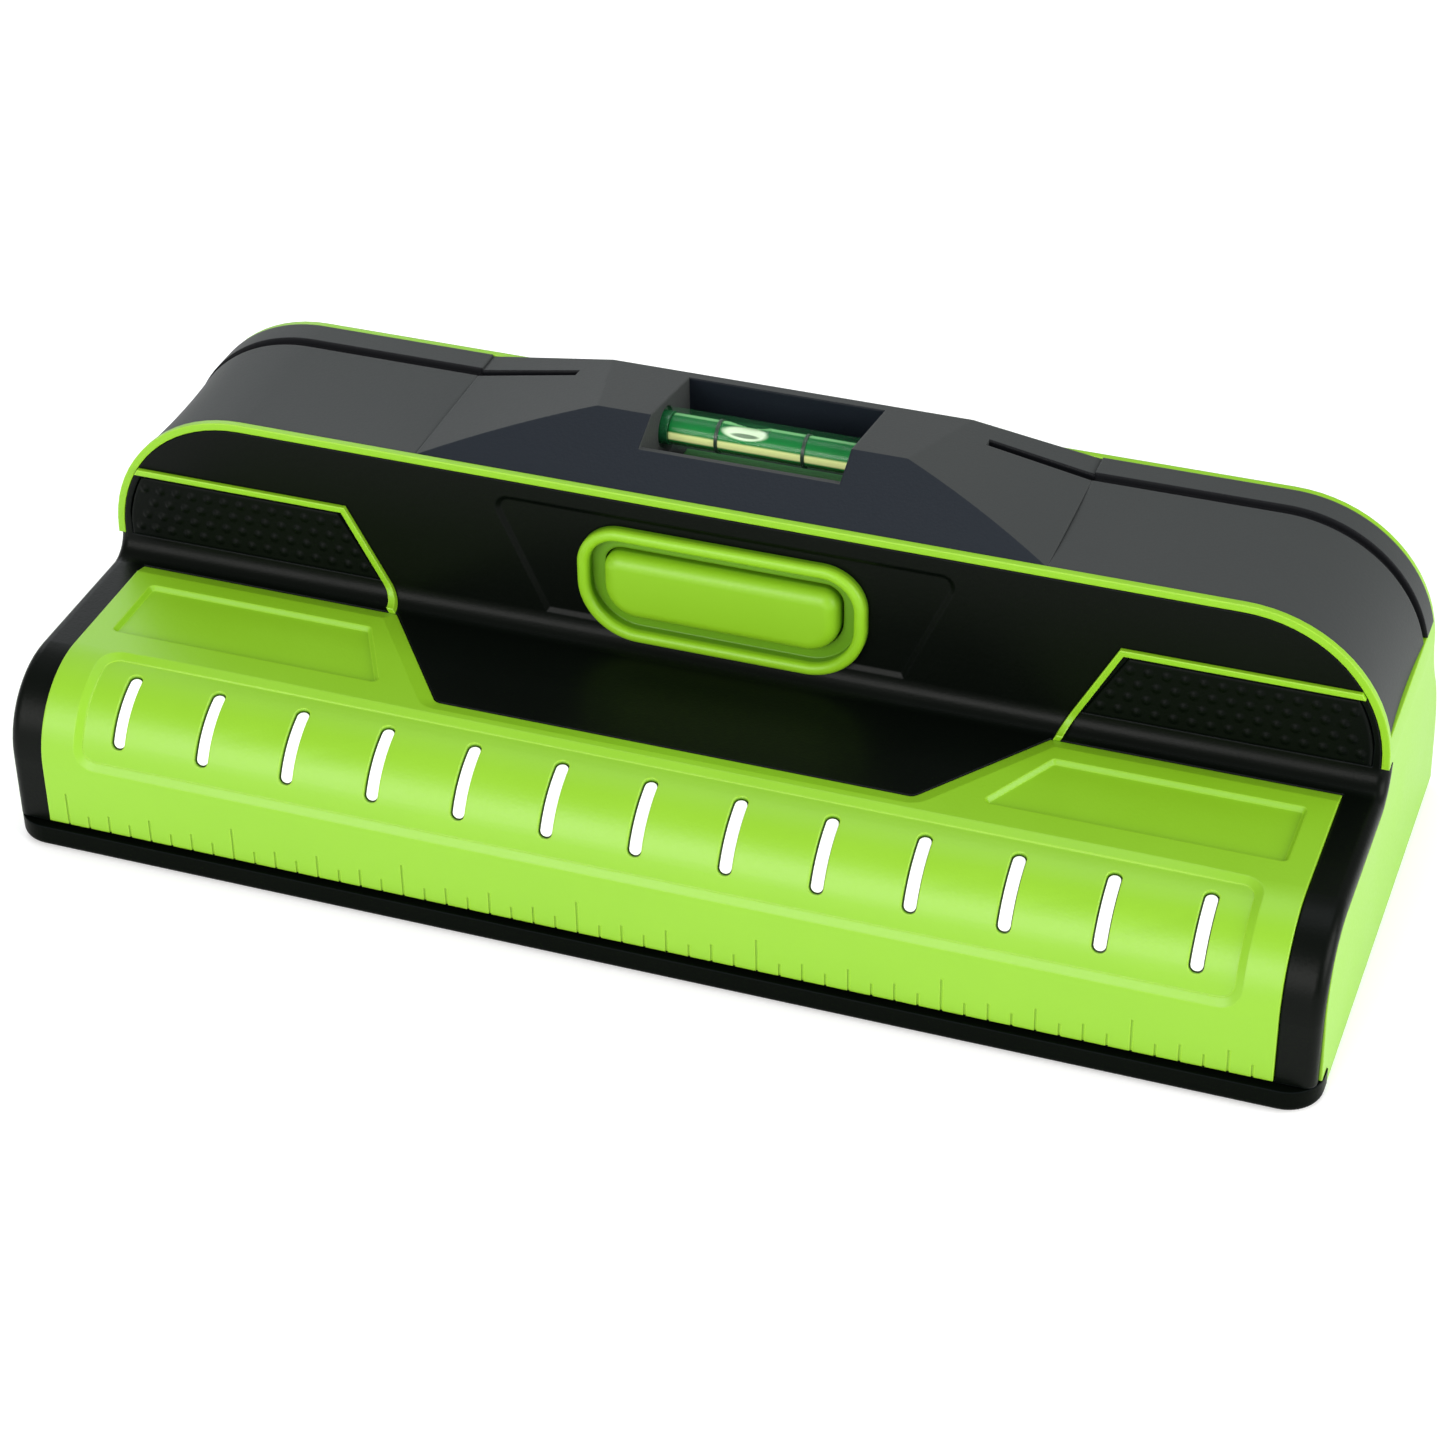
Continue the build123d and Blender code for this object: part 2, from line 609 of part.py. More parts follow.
for name, side in sides:
    with BuildPart() as grip_band:
        with BuildLine() as band_line:
            shoulder = (side * (half_top - arch_radius), band_front, arch_top - arch_radius)
            with BuildLine(front_plane(band_front)):
                turn = CenterArc(
                    (shoulder[0], shoulder[2]), band_line_radius, 0 if side > 0 else 180, side * 90
                )
                Line(turn @ 1, (side * (hump_half + band_joint), (turn @ 1).Z))
        # Section at the inner end, across the band: hollow face, groove, ridge.
        with BuildSketch(Plane(origin=band_line.wires()[0] @ 1, x_dir=(0, 1, 0), z_dir=(side, 0, 0))):
            up = side                # the plane's own Y axis points to side * Z
            outer = band_inner + 0.1
            with BuildLine():
                start = (seam / 2, 0)
                front_lip = (seam / 2, up * (outer - 0.25))
                groove_edge = (groove_y - band_front - groove_width / 2, up * (outer - 0.25))
                dip = ((front_lip[0] + groove_edge[0]) / 2, up * (outer - 0.25 - band_dip))
                ThreePointArc(front_lip, dip, groove_edge)
                width = band_rear - band_front - seam / 2
                groove_rear = groove_edge[0] + groove_width
                Polyline(
                    groove_edge, (groove_edge[0], up * (outer - groove_depth)),
                    (groove_rear, up * (outer - groove_depth)), (groove_rear, up * outer),
                    (width, up * outer), (width, 0), start, front_lip,
                )
            make_face()
        sweep(path=band_line.wires()[0])
        with BuildSketch(Plane.XY.offset(band_foot + seam)):
            Rectangle(2 * length, 2 * depth)
        extrude(amount=-depth, mode=Mode.SUBTRACT)
    save(grip_band, f"grip_band_{name}")

# ---- level block --------------------------------------------------------------------------
hump_edge = arch_top - 0.2
hump_foot = arch_top - band_depth + band_lift
hump_rear_z = 52.6
crest_front_half = 19.5             # half width of the hump's crest
crest_rear_half = 26.5
crest_round = 2.0
ramp_top_y = 12.0                   # the ramp ends here, at full height
groove_end = 30.0
block_front = band_front + 0.05
block_rear = band_rear - 0.05
crest_slope = (height - hump_rear_z) / (block_rear - ramp_top_y)
crest_front_z = height + crest_slope * (ramp_top_y - block_front)
window_x = 14.4                     # opening over the vial
window_y = (7.7, 27.1)
lip = 1.0                           # flat strip along the opening's front edge
lip_drop = 0.55
cup_floor = 45.8
vial_y = 17.4
vial_z = 50.4
vial_radius = 3.0
vial_length = 30.0
pocket_play = 0.02


def hump_body(drop):
    # The hump runs from a high front section to a lower and wider rear one.
    with BuildPart() as body:
        sections = (
            (block_front, crest_front_half, crest_front_z - drop),
            (block_rear, crest_rear_half, hump_rear_z - drop),
        )
        for y, crest_half, crest in sections:
            with BuildSketch(front_plane(y)):
                with BuildLine():
                    half = [(hump_half, hump_foot), (hump_half, hump_edge - drop), (crest_half, crest)]
                    Polyline(half + [(-x, z) for x, z in reversed(half)], close=True)
                make_face()
        loft(ruled=True)
    return body.part


with BuildPart() as level_block:
    add(hump_body(0))
    crest_mid = (crest_front_z + hump_rear_z) / 2
    crests = level_block.edges().filter_by(lambda e: abs(e.center().Z - crest_mid) < 0.1)
    fillet(crests, crest_round)
    # Ramp towards the ruler side.
    slope = (height - hump_edge) / (ramp_top_y - block_front)
    with BuildSketch(Plane.YZ):
        with BuildLine():
            Polyline(
                (block_front - 2, hump_edge - 2 * slope), (ramp_top_y, height),
                (ramp_top_y, roof), (block_front - 2, roof), close=True,
            )
        make_face()
    extrude(amount=length, both=True, mode=Mode.SUBTRACT)
    # The band's groove runs up each flank.
    with BuildPart(mode=Mode.PRIVATE) as grooves:
        for side in (-1, 1):
            with BuildSketch():
                with BuildLine():
                    Line((side * (hump_half + 1), groove_y), (side * groove_end, groove_y))
                trace(line_width=groove_width)
            extrude(amount=roof)
        add(hump_body(groove_depth), mode=Mode.SUBTRACT)
    add(grooves.part, mode=Mode.SUBTRACT)
    # Cup for the vial.
    with BuildSketch(Plane.XY.offset(cup_foot)):
        with Locations((0, cup_front)):
            Rectangle(2 * cup_half, cup_rear - cup_front, align=(Align.CENTER, Align.MIN))
    extrude(amount=hump_foot - cup_foot + 1)
    with BuildSketch(Plane.XY.offset(cup_floor)):
        with Locations((0, window_y[0])):
            Rectangle(2 * window_x, window_y[1] - window_y[0], align=(Align.CENTER, Align.MIN))
    extrude(amount=roof, mode=Mode.SUBTRACT)
    cross_edges = level_block.edges().filter_by(Axis.X)
    front_edges = cross_edges.filter_by(lambda e: abs(e.center().Y - window_y[0]) < 0.01)
    ramp_face = level_block.faces().filter_by(lambda f: f.normal_at().Y < -0.2 and f.normal_at().Z > 0.2)[0]
    chamfer(front_edges.sort_by(Axis.Z)[-1], lip, lip_drop, reference=ramp_face)
    # The vial's ends sit in pockets in the side walls.
    with BuildSketch(Plane.YZ.offset(-vial_length / 2 - pocket_play)):
        with Locations((vial_y, vial_z)):
            Circle(vial_radius + pocket_play)
    extrude(amount=vial_length + 2 * pocket_play, mode=Mode.SUBTRACT)
save(level_block, "level_block")

# ---- vial ---------------------------------------------------------------------------------
vial_bore = 2.4
plug_length = 1.6
ring_x = 6.3
ring_width = 0.5
bubble_x = -2.4
bubble_radius = 1.05
bubble_lift = 0.9
backing_half = 12.0
backing_width = 4.0

with BuildPart() as vial_tube:
    with BuildSketch(Plane.YZ.offset(-vial_length / 2)):
        with Locations((vial_y, vial_z)):
            Circle(vial_radius)
            Circle(vial_bore, mode=Mode.SUBTRACT)
    extrude(amount=vial_length)
save(vial_tube, "vial_tube")

for name, side in sides:
    with BuildPart() as vial_plug:
        with BuildSketch(Plane.YZ.offset(side * vial_length / 2)):
            with Locations((vial_y, vial_z)):
                Circle(vial_bore - 0.02)
        extrude(amount=-side * plug_length)
    save(vial_plug, f"vial_plug_{name}")
    with BuildPart() as vial_ring:
        with BuildSketch(Plane.YZ.offset(side * ring_x - ring_width / 2)):
            with Locations((vial_y, vial_z)):
                Circle(vial_bore - 0.01)
                Circle(vial_bore - 0.15, mode=Mode.SUBTRACT)
        extrude(amount=ring_width)
    save(vial_ring, f"vial_ring_{name}")

with BuildPart() as vial_liquid:
    with BuildSketch(Plane.YZ.offset(-vial_length / 2 + plug_length + 0.05)):
        with Locations((vial_y, vial_z)):
            Circle(vial_bore - 0.2)
    extrude(amount=vial_length - 2 * plug_length - 0.1)
    # The bubble is a hollow under the top of the tube.
    with Locations((bubble_x, vial_y, vial_z + bubble_lift)):
        Sphere(bubble_radius, mode=Mode.SUBTRACT)
save(vial_liquid, "vial_liquid")

with BuildPart() as vial_backing:
    with BuildSketch(Plane.XY.offset(cup_floor)):
        with Locations((0, vial_y)):
            Rectangle(2 * backing_half, backing_width)
    extrude(amount=0.4)
save(vial_backing, "vial_backing")

# ---- power button -------------------------------------------------------------------------
bead_width = 1.7                    # raised rim of the bezel
bead_round = 0.75
floor_sunk = 0.9                    # floor between the bead and the button
button_inset = 3.85
button_gap = 0.25
button_proud = 1.6
button_round = 1.9
flange_gap = 0.1
flange_catch = 1.2                  # the button's flange reaches this far behind the bezel
bezel_step = grip_front + front_skin + 0.02
bezel_back = bezel_step + 1.2
button_back = bezel_back + flange_gap + 1.0
switch_front = button_back + button_travel + 0.2
plunger_radius = 1.7
plunger_play = 0.06

with BuildPart() as button_bezel:
    extrude(button_outline(0, grip_front - bezel_proud), amount=grip_front - bezel_proud - bezel_step)
    extrude(button_outline(bead_width, grip_front - 3), amount=-3 - floor_sunk, mode=Mode.SUBTRACT)
    fillet(button_bezel.edges().group_by(Axis.Y)[0], bead_round)
    extrude(button_outline(-bezel_flange, bezel_step), amount=bezel_step - bezel_back)
    extrude(button_outline(button_inset - button_gap, grip_front - 3), amount=-12, mode=Mode.SUBTRACT)
save(button_bezel, "button_bezel")

with BuildPart() as power_button:
    button_face = grip_front - button_proud
    extrude(button_outline(button_inset, button_face), amount=button_face - button_back)
    fillet(power_button.edges().group_by(Axis.Y)[0], button_round)
    button_flange = button_outline(button_inset - button_gap - flange_catch, bezel_back + flange_gap)
    extrude(button_flange, amount=bezel_back + flange_gap - button_back)
save(power_button, "power_button")

switch_z = 35.0
switch_width = 6.0
switch_board_size = (70.0, 13.0)
switch_board_skin = 1.2
with BuildPart() as switch_plunger:
    with BuildSketch(front_plane(button_back)):
        with Locations((0, switch_z)):
            Circle(plunger_radius)
    extrude(amount=-(switch_front - button_back + 0.6))
save(switch_plunger, "switch_plunger")

with BuildPart() as switch_body:
    with BuildSketch(front_plane(switch_front)):
        with Locations((0, switch_z)):
            Rectangle(switch_width, switch_width)
    extrude(amount=switch_front - switch_board_y)
    with BuildSketch(front_plane(switch_front)):
        with Locations((0, switch_z)):
            Circle(plunger_radius + plunger_play)
    extrude(amount=-(button_travel + 0.8), mode=Mode.SUBTRACT)
save(switch_body, "switch_body")

with BuildPart() as switch_board:
    with BuildSketch(front_plane(switch_board_y)):
        with Locations((0, switch_z)):
            RectangleRounded(*switch_board_size, 1.5)
        with Locations(*post_places):
            Circle(board_hole, mode=Mode.SUBTRACT)
    extrude(amount=-switch_board_skin)
save(switch_board, "switch_board")


def add_screw(shank, shank_length, head, head_height):
    # Pan head at the origin, shank towards +Z, cross recess in the head.
    with BuildPart(mode=Mode.PRIVATE) as screw:
        with BuildSketch():
            Circle(head)
        extrude(amount=-head_height)
        fillet(screw.edges().group_by(Axis.Z)[0], head_height * 0.4)
        with BuildSketch(Plane.XY.offset(-head_height)):
            Rectangle(head, head * 0.3)
            Rectangle(head * 0.3, head)
        extrude(amount=head_height * 0.5, mode=Mode.SUBTRACT)
        with BuildSketch():
            Circle(shank)
        extrude(amount=shank_length)
    add(screw.part)


small_shank = pilot_radius - 0.05
small_length = 4.5
with BuildPart() as switch_screws:
    for x, z in post_places:
        with Locations(Location((x, switch_board_y + switch_board_skin, z), (90, 0, 0))):
            add_screw(small_shank, small_length, 1.7, 1.1)
save(switch_screws, "switch_screws")

with BuildPart() as base_screws:
    for x, y in screw_places:
        with Locations((x, y, head_depth + 0.3)):
            add_screw(screw_radius - 0.06, screw_bite, screw_head, head_depth)
save(base_screws, "base_screws")

# ---- electronics in the ruler side --------------------------------------------------------
board_rear = -7.0
board_front = -35.0 + seam
board_half = 80.0
board_skin = 1.2
board_mid = (board_front + board_rear) / 2
board_top = board_foot + board_skin

with BuildPart() as sensor_board:
    with BuildSketch(Plane.XY.offset(board_foot)):
        with Locations((0, board_mid)):
            Rectangle(2 * board_half, board_rear - board_front)
        with Locations(*board_places):
            Circle(board_hole, mode=Mode.SUBTRACT)
    extrude(amount=board_skin)
save(sensor_board, "sensor_board")

with BuildPart() as sensor_pads:
    with BuildSketch(Plane.XY.offset(board_foot)):
        with Locations((0, board_mid)):
            with GridLocations(11.5, 0, indicator_count, 1):
                Rectangle(9, 12.6)
    extrude(amount=-0.3)
save(sensor_pads, "sensor_pads")

controller_width = 10.0
controller_height = 1.4
with BuildPart() as microcontroller:
    with BuildSketch(Plane.XY.offset(board_top)):
        with Locations((-18, board_mid + 3)):
            Rectangle(controller_width, controller_width)
    extrude(amount=controller_height)
    chamfer(microcontroller.edges().filter_by(Axis.Z).group_by(Axis.X)[0].sort_by(Axis.Y)[0], 1.0)
save(microcontroller, "microcontroller")

buzzer_radius = 6.0
buzzer_height = 5.0
buzzer_place = (50.0, board_mid + 4)
with BuildPart() as buzzer:
    with BuildSketch(Plane.XY.offset(board_top)):
        with Locations(buzzer_place):
            Circle(buzzer_radius)
    extrude(amount=buzzer_height)
    with Locations((*buzzer_place, board_top + buzzer_height)):
        Hole(1, depth=2)
save(buzzer, "buzzer")

# Small parts on the board: place along X, width and height.
chips = [
    (-56, 3, 1.2), (-44, 3, 1.2), (-36, 2, 0.9), (-30, 2, 0.9), (2, 2, 0.9),
    (10, 5, 1.5), (20, 3, 1.2), (30, 3, 1.2), (66, 3, 1.2),
]
with BuildPart() as board_chips:
    for x, width, rise in chips:
        with BuildSketch(Plane.XY.offset(board_top)):
            with Locations((x, board_mid + 4)):
                Rectangle(width, 0.7 * width + 1)
        extrude(amount=rise)
save(board_chips, "board_chips")

with BuildPart() as board_screws:
    for x, y in board_places:
        with Locations(Location((x, y, board_top), (180, 0, 0))):
            add_screw(small_shank, small_length, 1.8, 1.2)
save(board_screws, "board_screws")

# ---- battery bay --------------------------------------------------------------------------
tray_half = 31.6
tray_inner = 30.0
tray_front = -6.6
tray_rear = 28.7
tray_skin = 1.4
tray_top = 19.8
contact_skin = 0.4
contact_x = tray_inner - 0.05

with BuildPart() as battery_tray:
    with BuildSketch(Plane.XY.offset(plate_thickness)):
        with Locations((0, tray_front)):
            Rectangle(2 * tray_half, tray_rear - tray_front, align=(Align.CENTER, Align.MIN))
    extrude(amount=tray_top - plate_thickness)
    fillet(battery_tray.edges().group_by(Axis.Z)[-1], 1.0)
    with BuildSketch(Plane.XY.offset(plate_thickness)):
        with Locations((0, tray_front + tray_skin)):
            Rectangle(2 * tray_inner, tray_rear - tray_front - 2 * tray_skin,
                      align=(Align.CENTER, Align.MIN))
    extrude(amount=tray_top - plate_thickness - tray_skin, mode=Mode.SUBTRACT)
    # Room for the door's runners under the rear wall.
    with BuildSketch(Plane.XY.offset(plate_thickness)):
        with Locations((0, tray_rear)):
            Rectangle(2 * tray_inner, 3 * tray_skin)
    extrude(amount=rim_height - plate_thickness, mode=Mode.SUBTRACT)
save(battery_tray, "battery_tray")

nub_radius = 2.7
nub_length = 1.0
for name, y, side in (("front", battery_rows[0], 1), ("rear", battery_rows[1], -1)):
    with BuildPart() as battery:
        with BuildSketch(Plane.YZ.offset(-side * battery_length / 2)):
            with Locations((y, battery_height)):
                Circle(battery_radius)
        extrude(amount=side * (battery_length - nub_length))
        fillet(battery.edges().filter_by(GeomType.CIRCLE), 0.6)
        with BuildSketch(Plane.YZ.offset(side * (battery_length / 2 - nub_length))):
            with Locations((y, battery_height)):
                Circle(nub_radius)
        extrude(amount=side * nub_length)
    save(battery, f"battery_{name}")


def contact(side, rows):
    # Plates against the tray's end wall, each with a sprung leaf that reaches a cell.
    plate_x = side * contact_x
    with BuildPart() as metal:
        with BuildSketch(Plane.YZ.offset(plate_x)):
            with Locations(((rows[0] + rows[-1]) / 2, battery_height - 0.5)):
                Rectangle(rows[-1] - rows[0] + 9, 11)
        extrude(amount=-side * contact_skin)
        for y in rows:
            with BuildSketch(front_plane(y - 2.5)):
                with BuildLine():
                    Polyline(
                        (plate_x - side * contact_skin / 2, battery_height - 4.5),
                        (side * (battery_length / 2 + contact_skin), battery_height - 0.8),
                        (side * (battery_length / 2 + contact_skin), battery_height + 0.8),
                        (plate_x - side * contact_skin, battery_height + 4.5),
                    )
                trace(line_width=contact_skin)
            extrude(amount=-5)
    return metal


save(contact(-1, battery_rows), "battery_link")
save(contact(1, battery_rows[:1]), "battery_contact_plus")
save(contact(1, battery_rows[1:]), "battery_contact_minus")
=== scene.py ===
from math import atan2, cos, hypot, pi, sin, sqrt

import bpy
from mathutils import Matrix, Vector


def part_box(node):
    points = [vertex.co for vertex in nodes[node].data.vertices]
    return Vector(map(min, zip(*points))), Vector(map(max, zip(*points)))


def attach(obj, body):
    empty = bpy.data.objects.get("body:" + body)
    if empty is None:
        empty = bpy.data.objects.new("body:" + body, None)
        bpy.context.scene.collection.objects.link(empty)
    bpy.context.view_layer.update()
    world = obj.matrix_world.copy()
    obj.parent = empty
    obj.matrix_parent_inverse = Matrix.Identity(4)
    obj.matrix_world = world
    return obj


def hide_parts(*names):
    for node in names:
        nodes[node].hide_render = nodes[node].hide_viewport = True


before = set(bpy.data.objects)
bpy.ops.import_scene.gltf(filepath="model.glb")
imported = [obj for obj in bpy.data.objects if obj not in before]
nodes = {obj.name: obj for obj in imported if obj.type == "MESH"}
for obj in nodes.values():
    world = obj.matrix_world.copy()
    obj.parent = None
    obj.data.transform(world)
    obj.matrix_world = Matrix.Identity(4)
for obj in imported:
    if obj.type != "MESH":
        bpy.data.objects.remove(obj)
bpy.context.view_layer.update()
mm = 0.001
print("frame loaded:", len(nodes), "parts")


# A Wire is a socket that adds up like a number: each operator makes its own Math node.
class Wire:
    def __init__(self, paint, socket):
        self.paint = paint
        self.socket = socket

    def maths(self, operation, *others):
        values = dict(enumerate((self, *others)))
        return self.paint.node("ShaderNodeMath", {"operation": operation}, values)

    def __add__(self, other):
        return self.maths("ADD", other)

    def __sub__(self, other):
        return self.maths("SUBTRACT", other)

    def __mul__(self, other):
        return self.maths("MULTIPLY", other)

    def __truediv__(self, other):
        return self.maths("DIVIDE", other)

    def __pow__(self, other):
        return self.maths("POWER", other)

    def __gt__(self, other):
        return self.maths("GREATER_THAN", other)

    def __lt__(self, other):
        return self.maths("LESS_THAN", other)

    def __rsub__(self, other):
        return self.paint.node("ShaderNodeMath", {"operation": "SUBTRACT"}, {0: other, 1: self})

    __radd__ = __add__
    __rmul__ = __mul__


softEdge = {
    "samples": 6,
    "bend": (0.01, 0.16),       # turn of the softened normal where the edge mask (wear and painted highlight) starts and where it is full
}


# A Paint is one finish: a material whose Principled sockets are set by name.
class Paint:
    def __init__(self, name, **fixed):
        self.material = bpy.data.materials.new(name)
        self.material.use_nodes = True
        self.tree = self.material.node_tree
        self.shader = self.tree.nodes["Principled BSDF"]
        self.set(**fixed)

    def node(self, kind, settings=None, sockets=None, output=0):
        made = self.tree.nodes.new(kind)
        for key, value in (settings or {}).items():
            setattr(made, key, value)
        for key, value in (sockets or {}).items():
            self.feed(made.inputs[key], value)
        return Wire(self, made.outputs[output])

    def feed(self, socket, value):
        if isinstance(value, Wire):
            self.tree.links.new(value.socket, socket)
        elif socket.type == "RGBA" and len(value) == 3:
            socket.default_value = (*value, 1)
        else:
            socket.default_value = value

    def set(self, **values):
        for key, value in values.items():
            words = "".join(" " + c if c.isupper() else c for c in key)
            title = (words[0].upper() + words[1:]).replace("Ior", "IOR")
            self.feed(self.shader.inputs[title], value)
        return self

    def place(self):
        return self.node("ShaderNodeTexCoord", output="Object")

    def facing(self, axis):
        normal = self.node("ShaderNodeTexCoord", output="Normal")
        return self.node("ShaderNodeSeparateXYZ", None, {0: normal}, axis)

    def along(self, axis):
        return self.node("ShaderNodeSeparateXYZ", None, {0: self.place()}, axis)

    def speckle(self, size, detail=2.0, roughness=0.5):
        # soft noise from 0 to 1, in patches about that many metres wide
        return self.node("ShaderNodeTexNoise", None, {
            "Vector": self.place(), "Scale": 1 / size, "Detail": detail, "Roughness": roughness,
        })

    def cells(self, size):
        return self.node("ShaderNodeTexVoronoi", {"feature": "F1"},
                         {"Vector": self.place(), "Scale": 1 / size})

    def step(self, value, low, high):
        # 0 below low, 1 above high, smooth between
        return self.node("ShaderNodeMapRange", {"interpolation_type": "SMOOTHSTEP"},
                         {"Value": value, "From Min": low, "From Max": high})

    def blend(self, share, first, second):
        sockets = {"Factor": share, 6: first, 7: second}        # 6 and 7 are its colour inputs
        return self.node("ShaderNodeMix", {"data_type": "RGBA"}, sockets, 2)

    def rounded(self, radius):
        return self.node("ShaderNodeBevel", {"samples": softEdge["samples"]}, {"Radius": radius})

    def worn(self, radius):
        # 1 on sharp outer and inner edges, 0 on flat stretches; it paints highlights along edges and
        # marks wear
        flat = self.node("ShaderNodeNewGeometry", output="Normal")
        agree = self.node("ShaderNodeVectorMath", {"operation": "DOT_PRODUCT"},
                          {0: flat, 1: self.rounded(radius)}, "Value")
        return self.step(1 - agree, *softEdge["bend"])

    def layers(self, look):
        # wide clouds, fine grain and an edge mask for painted edge highlights and wear, which most
        # finishes are mixed from
        cloud = self.speckle(look["cloud"], detail=3.0)
        grain = self.speckle(look["grain"], *look["grainNoise"])
        return cloud, grain, self.worn(look["edgeRadius"])

    def patchy(self, look, cloud, grain):
        # roughness that varies with the clouds and the grain
        return (look["roughness"] + (cloud - 0.5) * look["cloudRough"]
                + (grain - 0.5) * look["grainRough"])

    def bump(self, height, depth, radius):
        normal = self.node("ShaderNodeBump", None, {
            "Height": height, "Distance": depth, "Strength": 1.0, "Normal": self.rounded(radius),
        })
        return self.set(normal=normal)

    def pebbled(self, look, grain):
        # moulded skin: the grain with small rounded cells
        height = grain + self.cells(look["cell"]) * look["cellShare"]
        return self.bump(height, look["grainDepth"], look["edgeRadius"])

    def coat(self, *names):
        for name in names:
            mesh = nodes[name].data
            mesh.materials.clear()
            mesh.materials.append(self.material)


def toned(colour, share, lift=0.0):
    return [min(1.0, c * share + lift) for c in colour]


limeLook = {
    "body": (0.212, 0.455, 0.008),
    "pale": (0.236, 0.492, 0.013),
    # painted highlight: edges are painted lighter than the body
    "edge": (0.43, 0.78, 0.05),
    # painted shade for recesses
    "hollow": (0.105, 0.26, 0.004),
    "roughness": 0.42,
    "cloud": 18 * mm,
    "cloudRough": 0.10,
    "grain": 0.42 * mm,
    "grainNoise": (2.0, 0.6),       # detail and roughness of the noise
    "grainRough": 0.12,
    "grainDepth": 0.012 * mm,
    "cell": 0.714 * mm,
    "cellShare": 0.5,
    "edgeRadius": 0.35 * mm,
    "edgeGloss": 0.06,              # worn edges are this much smoother
}


def limePlastic(name, shade=1.0, edgeShare=0.7, shadow=None, gloss=0.4):
    # shadow is a function from the paint to a mask of hollows where shade is painted darker
    look = limeLook
    paint = Paint(name, specularIorLevel=gloss)
    cloud, grain, edge = paint.layers(look)
    body = paint.blend(cloud, toned(look["body"], shade), toned(look["pale"], shade))
    # painted highlight: lighter green along edges
    colour = paint.blend(edge * edgeShare, body, toned(look["edge"], shade))
    if shadow:
        # painted shade: hollows are darker green
        colour = paint.blend(shadow(paint), colour, look["hollow"])
    paint.set(baseColor=colour)
    paint.set(roughness=paint.patchy(look, cloud, grain) - edge * look["edgeGloss"])
    return paint.pebbled(look, grain)


plateShape = {
    "roundRadius": 12.0 * mm,               # quarter round of the black front, under the plate
    "proud": 0.5 * mm,
    "slotSpan": (11.40 * mm, 11.45 * mm),   # the slots' walls lie below these radii
    "guideSpan": (11.04 * mm, 11.08 * mm),  # only the guides' ends reach past these
}
roundAxis = (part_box("front_panel")[0].y + plateShape["roundRadius"],
             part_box("ruler_plate")[1].z - plateShape["proud"] - plateShape["roundRadius"])
buttonShape = {
    "bezelDepth": 0.9 * mm,         # deeper than this behind its front, the bezel is in shadow
    "buttonDepth": 1.8 * mm,
    "blur": 0.5 * mm,
}


def roundReach(paint):
    # distance from the axis of the quarter round
    y = paint.along("Y") - roundAxis[0]
    z = paint.along("Z") - roundAxis[1]
    return (y * y + z * z) ** 0.5


# painted shade: the slots' walls are painted darker
def slotWallShade(paint):
    return 1 - paint.step(roundReach(paint), *plateShape["slotSpan"])


def shadeBehind(node, depth):
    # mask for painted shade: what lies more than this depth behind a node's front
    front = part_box(node)[0].y + depth
    return lambda paint: paint.step(paint.along("Y"), front, front + buttonShape["blur"])


limePlastic("lime").coat("housing_shell", "pad_trim_left", "pad_trim_right")
limePlastic("limePlate", shade=0.96, shadow=slotWallShade, gloss=0.5).coat("ruler_plate")
bezelShadow = shadeBehind("button_bezel", buttonShape["bezelDepth"])
limePlastic("limeBezel", shadow=bezelShadow).coat("button_bezel")
buttonShadow = shadeBehind("power_button", buttonShape["buttonDepth"])
limePlastic("limeButton", shade=0.95, edgeShare=0.5, shadow=buttonShadow).coat("power_button")


blackLook = {
    "body": (0.0010, 0.0018, 0.0010),
    "pale": (0.0018, 0.0029, 0.0019),
    # painted highlight: edges are painted a lighter bluish grey
    "edge": (0.009, 0.012, 0.014),
    "edgeShare": 0.6,
    "roughness": 0.36,
    "cloud": 22 * mm,
    "cloudRough": 0.12,
    "grain": 0.36 * mm,
    "grainNoise": (2.0, 0.6),
    "grainRough": 0.14,
    "grainDepth": 0.014 * mm,
    "cell": 0.576 * mm,
    "cellShare": 0.5,
    "edgeRadius": 0.35 * mm,
}


def blackPlastic(name, gloss):
    look = blackLook
    paint = Paint(name, specularIorLevel=gloss)
    cloud, grain, edge = paint.layers(look)
    body = paint.blend(cloud, look["body"], look["pale"])
    # painted highlight: lighter bluish colour along edges
    paint.set(baseColor=paint.blend(edge * look["edgeShare"], body, look["edge"]))
    paint.set(roughness=paint.patchy(look, cloud, grain))
    return paint.pebbled(look, grain)


blackPlastic("black", gloss=0.08).coat("front_panel")
blackPlastic("blackBase", gloss=0.02).coat("base_plate", "battery_door")


softLook = {
    "body": (0.034, 0.037, 0.037),
    "pale": (0.042, 0.046, 0.045),
    # painted highlight: edges are painted lighter grey
    "edge": (0.070, 0.075, 0.074),
    "edgeShare": 0.5,
    "ramp": (0.0068, 0.0100, 0.0155),
    "rampLean": (0.26, 0.36),               # how far a surface faces the ruler side to be ramp
    "rampGloss": 0.18,                      # the ramp is this much smoother
    # painted shade in the groove
    "groove": (0.0040, 0.0045, 0.0060),
    "grooveSpan": (23.1 * mm, 24.95 * mm),  # from front to rear
    "grooveEnd": 30.0 * mm,                 # the groove stops this far from the middle
    "roughness": 0.62,
    "cloud": 30 * mm,
    "cloudRough": 0.08,
    "grain": 0.30 * mm,
    "grainNoise": (3.0, 0.65),
    "grainRough": 0.16,
    "grainDepth": 0.016 * mm,
    "cell": 0.54 * mm,
    "cellShare": 0.6,
    "edgeRadius": 0.5 * mm,
}


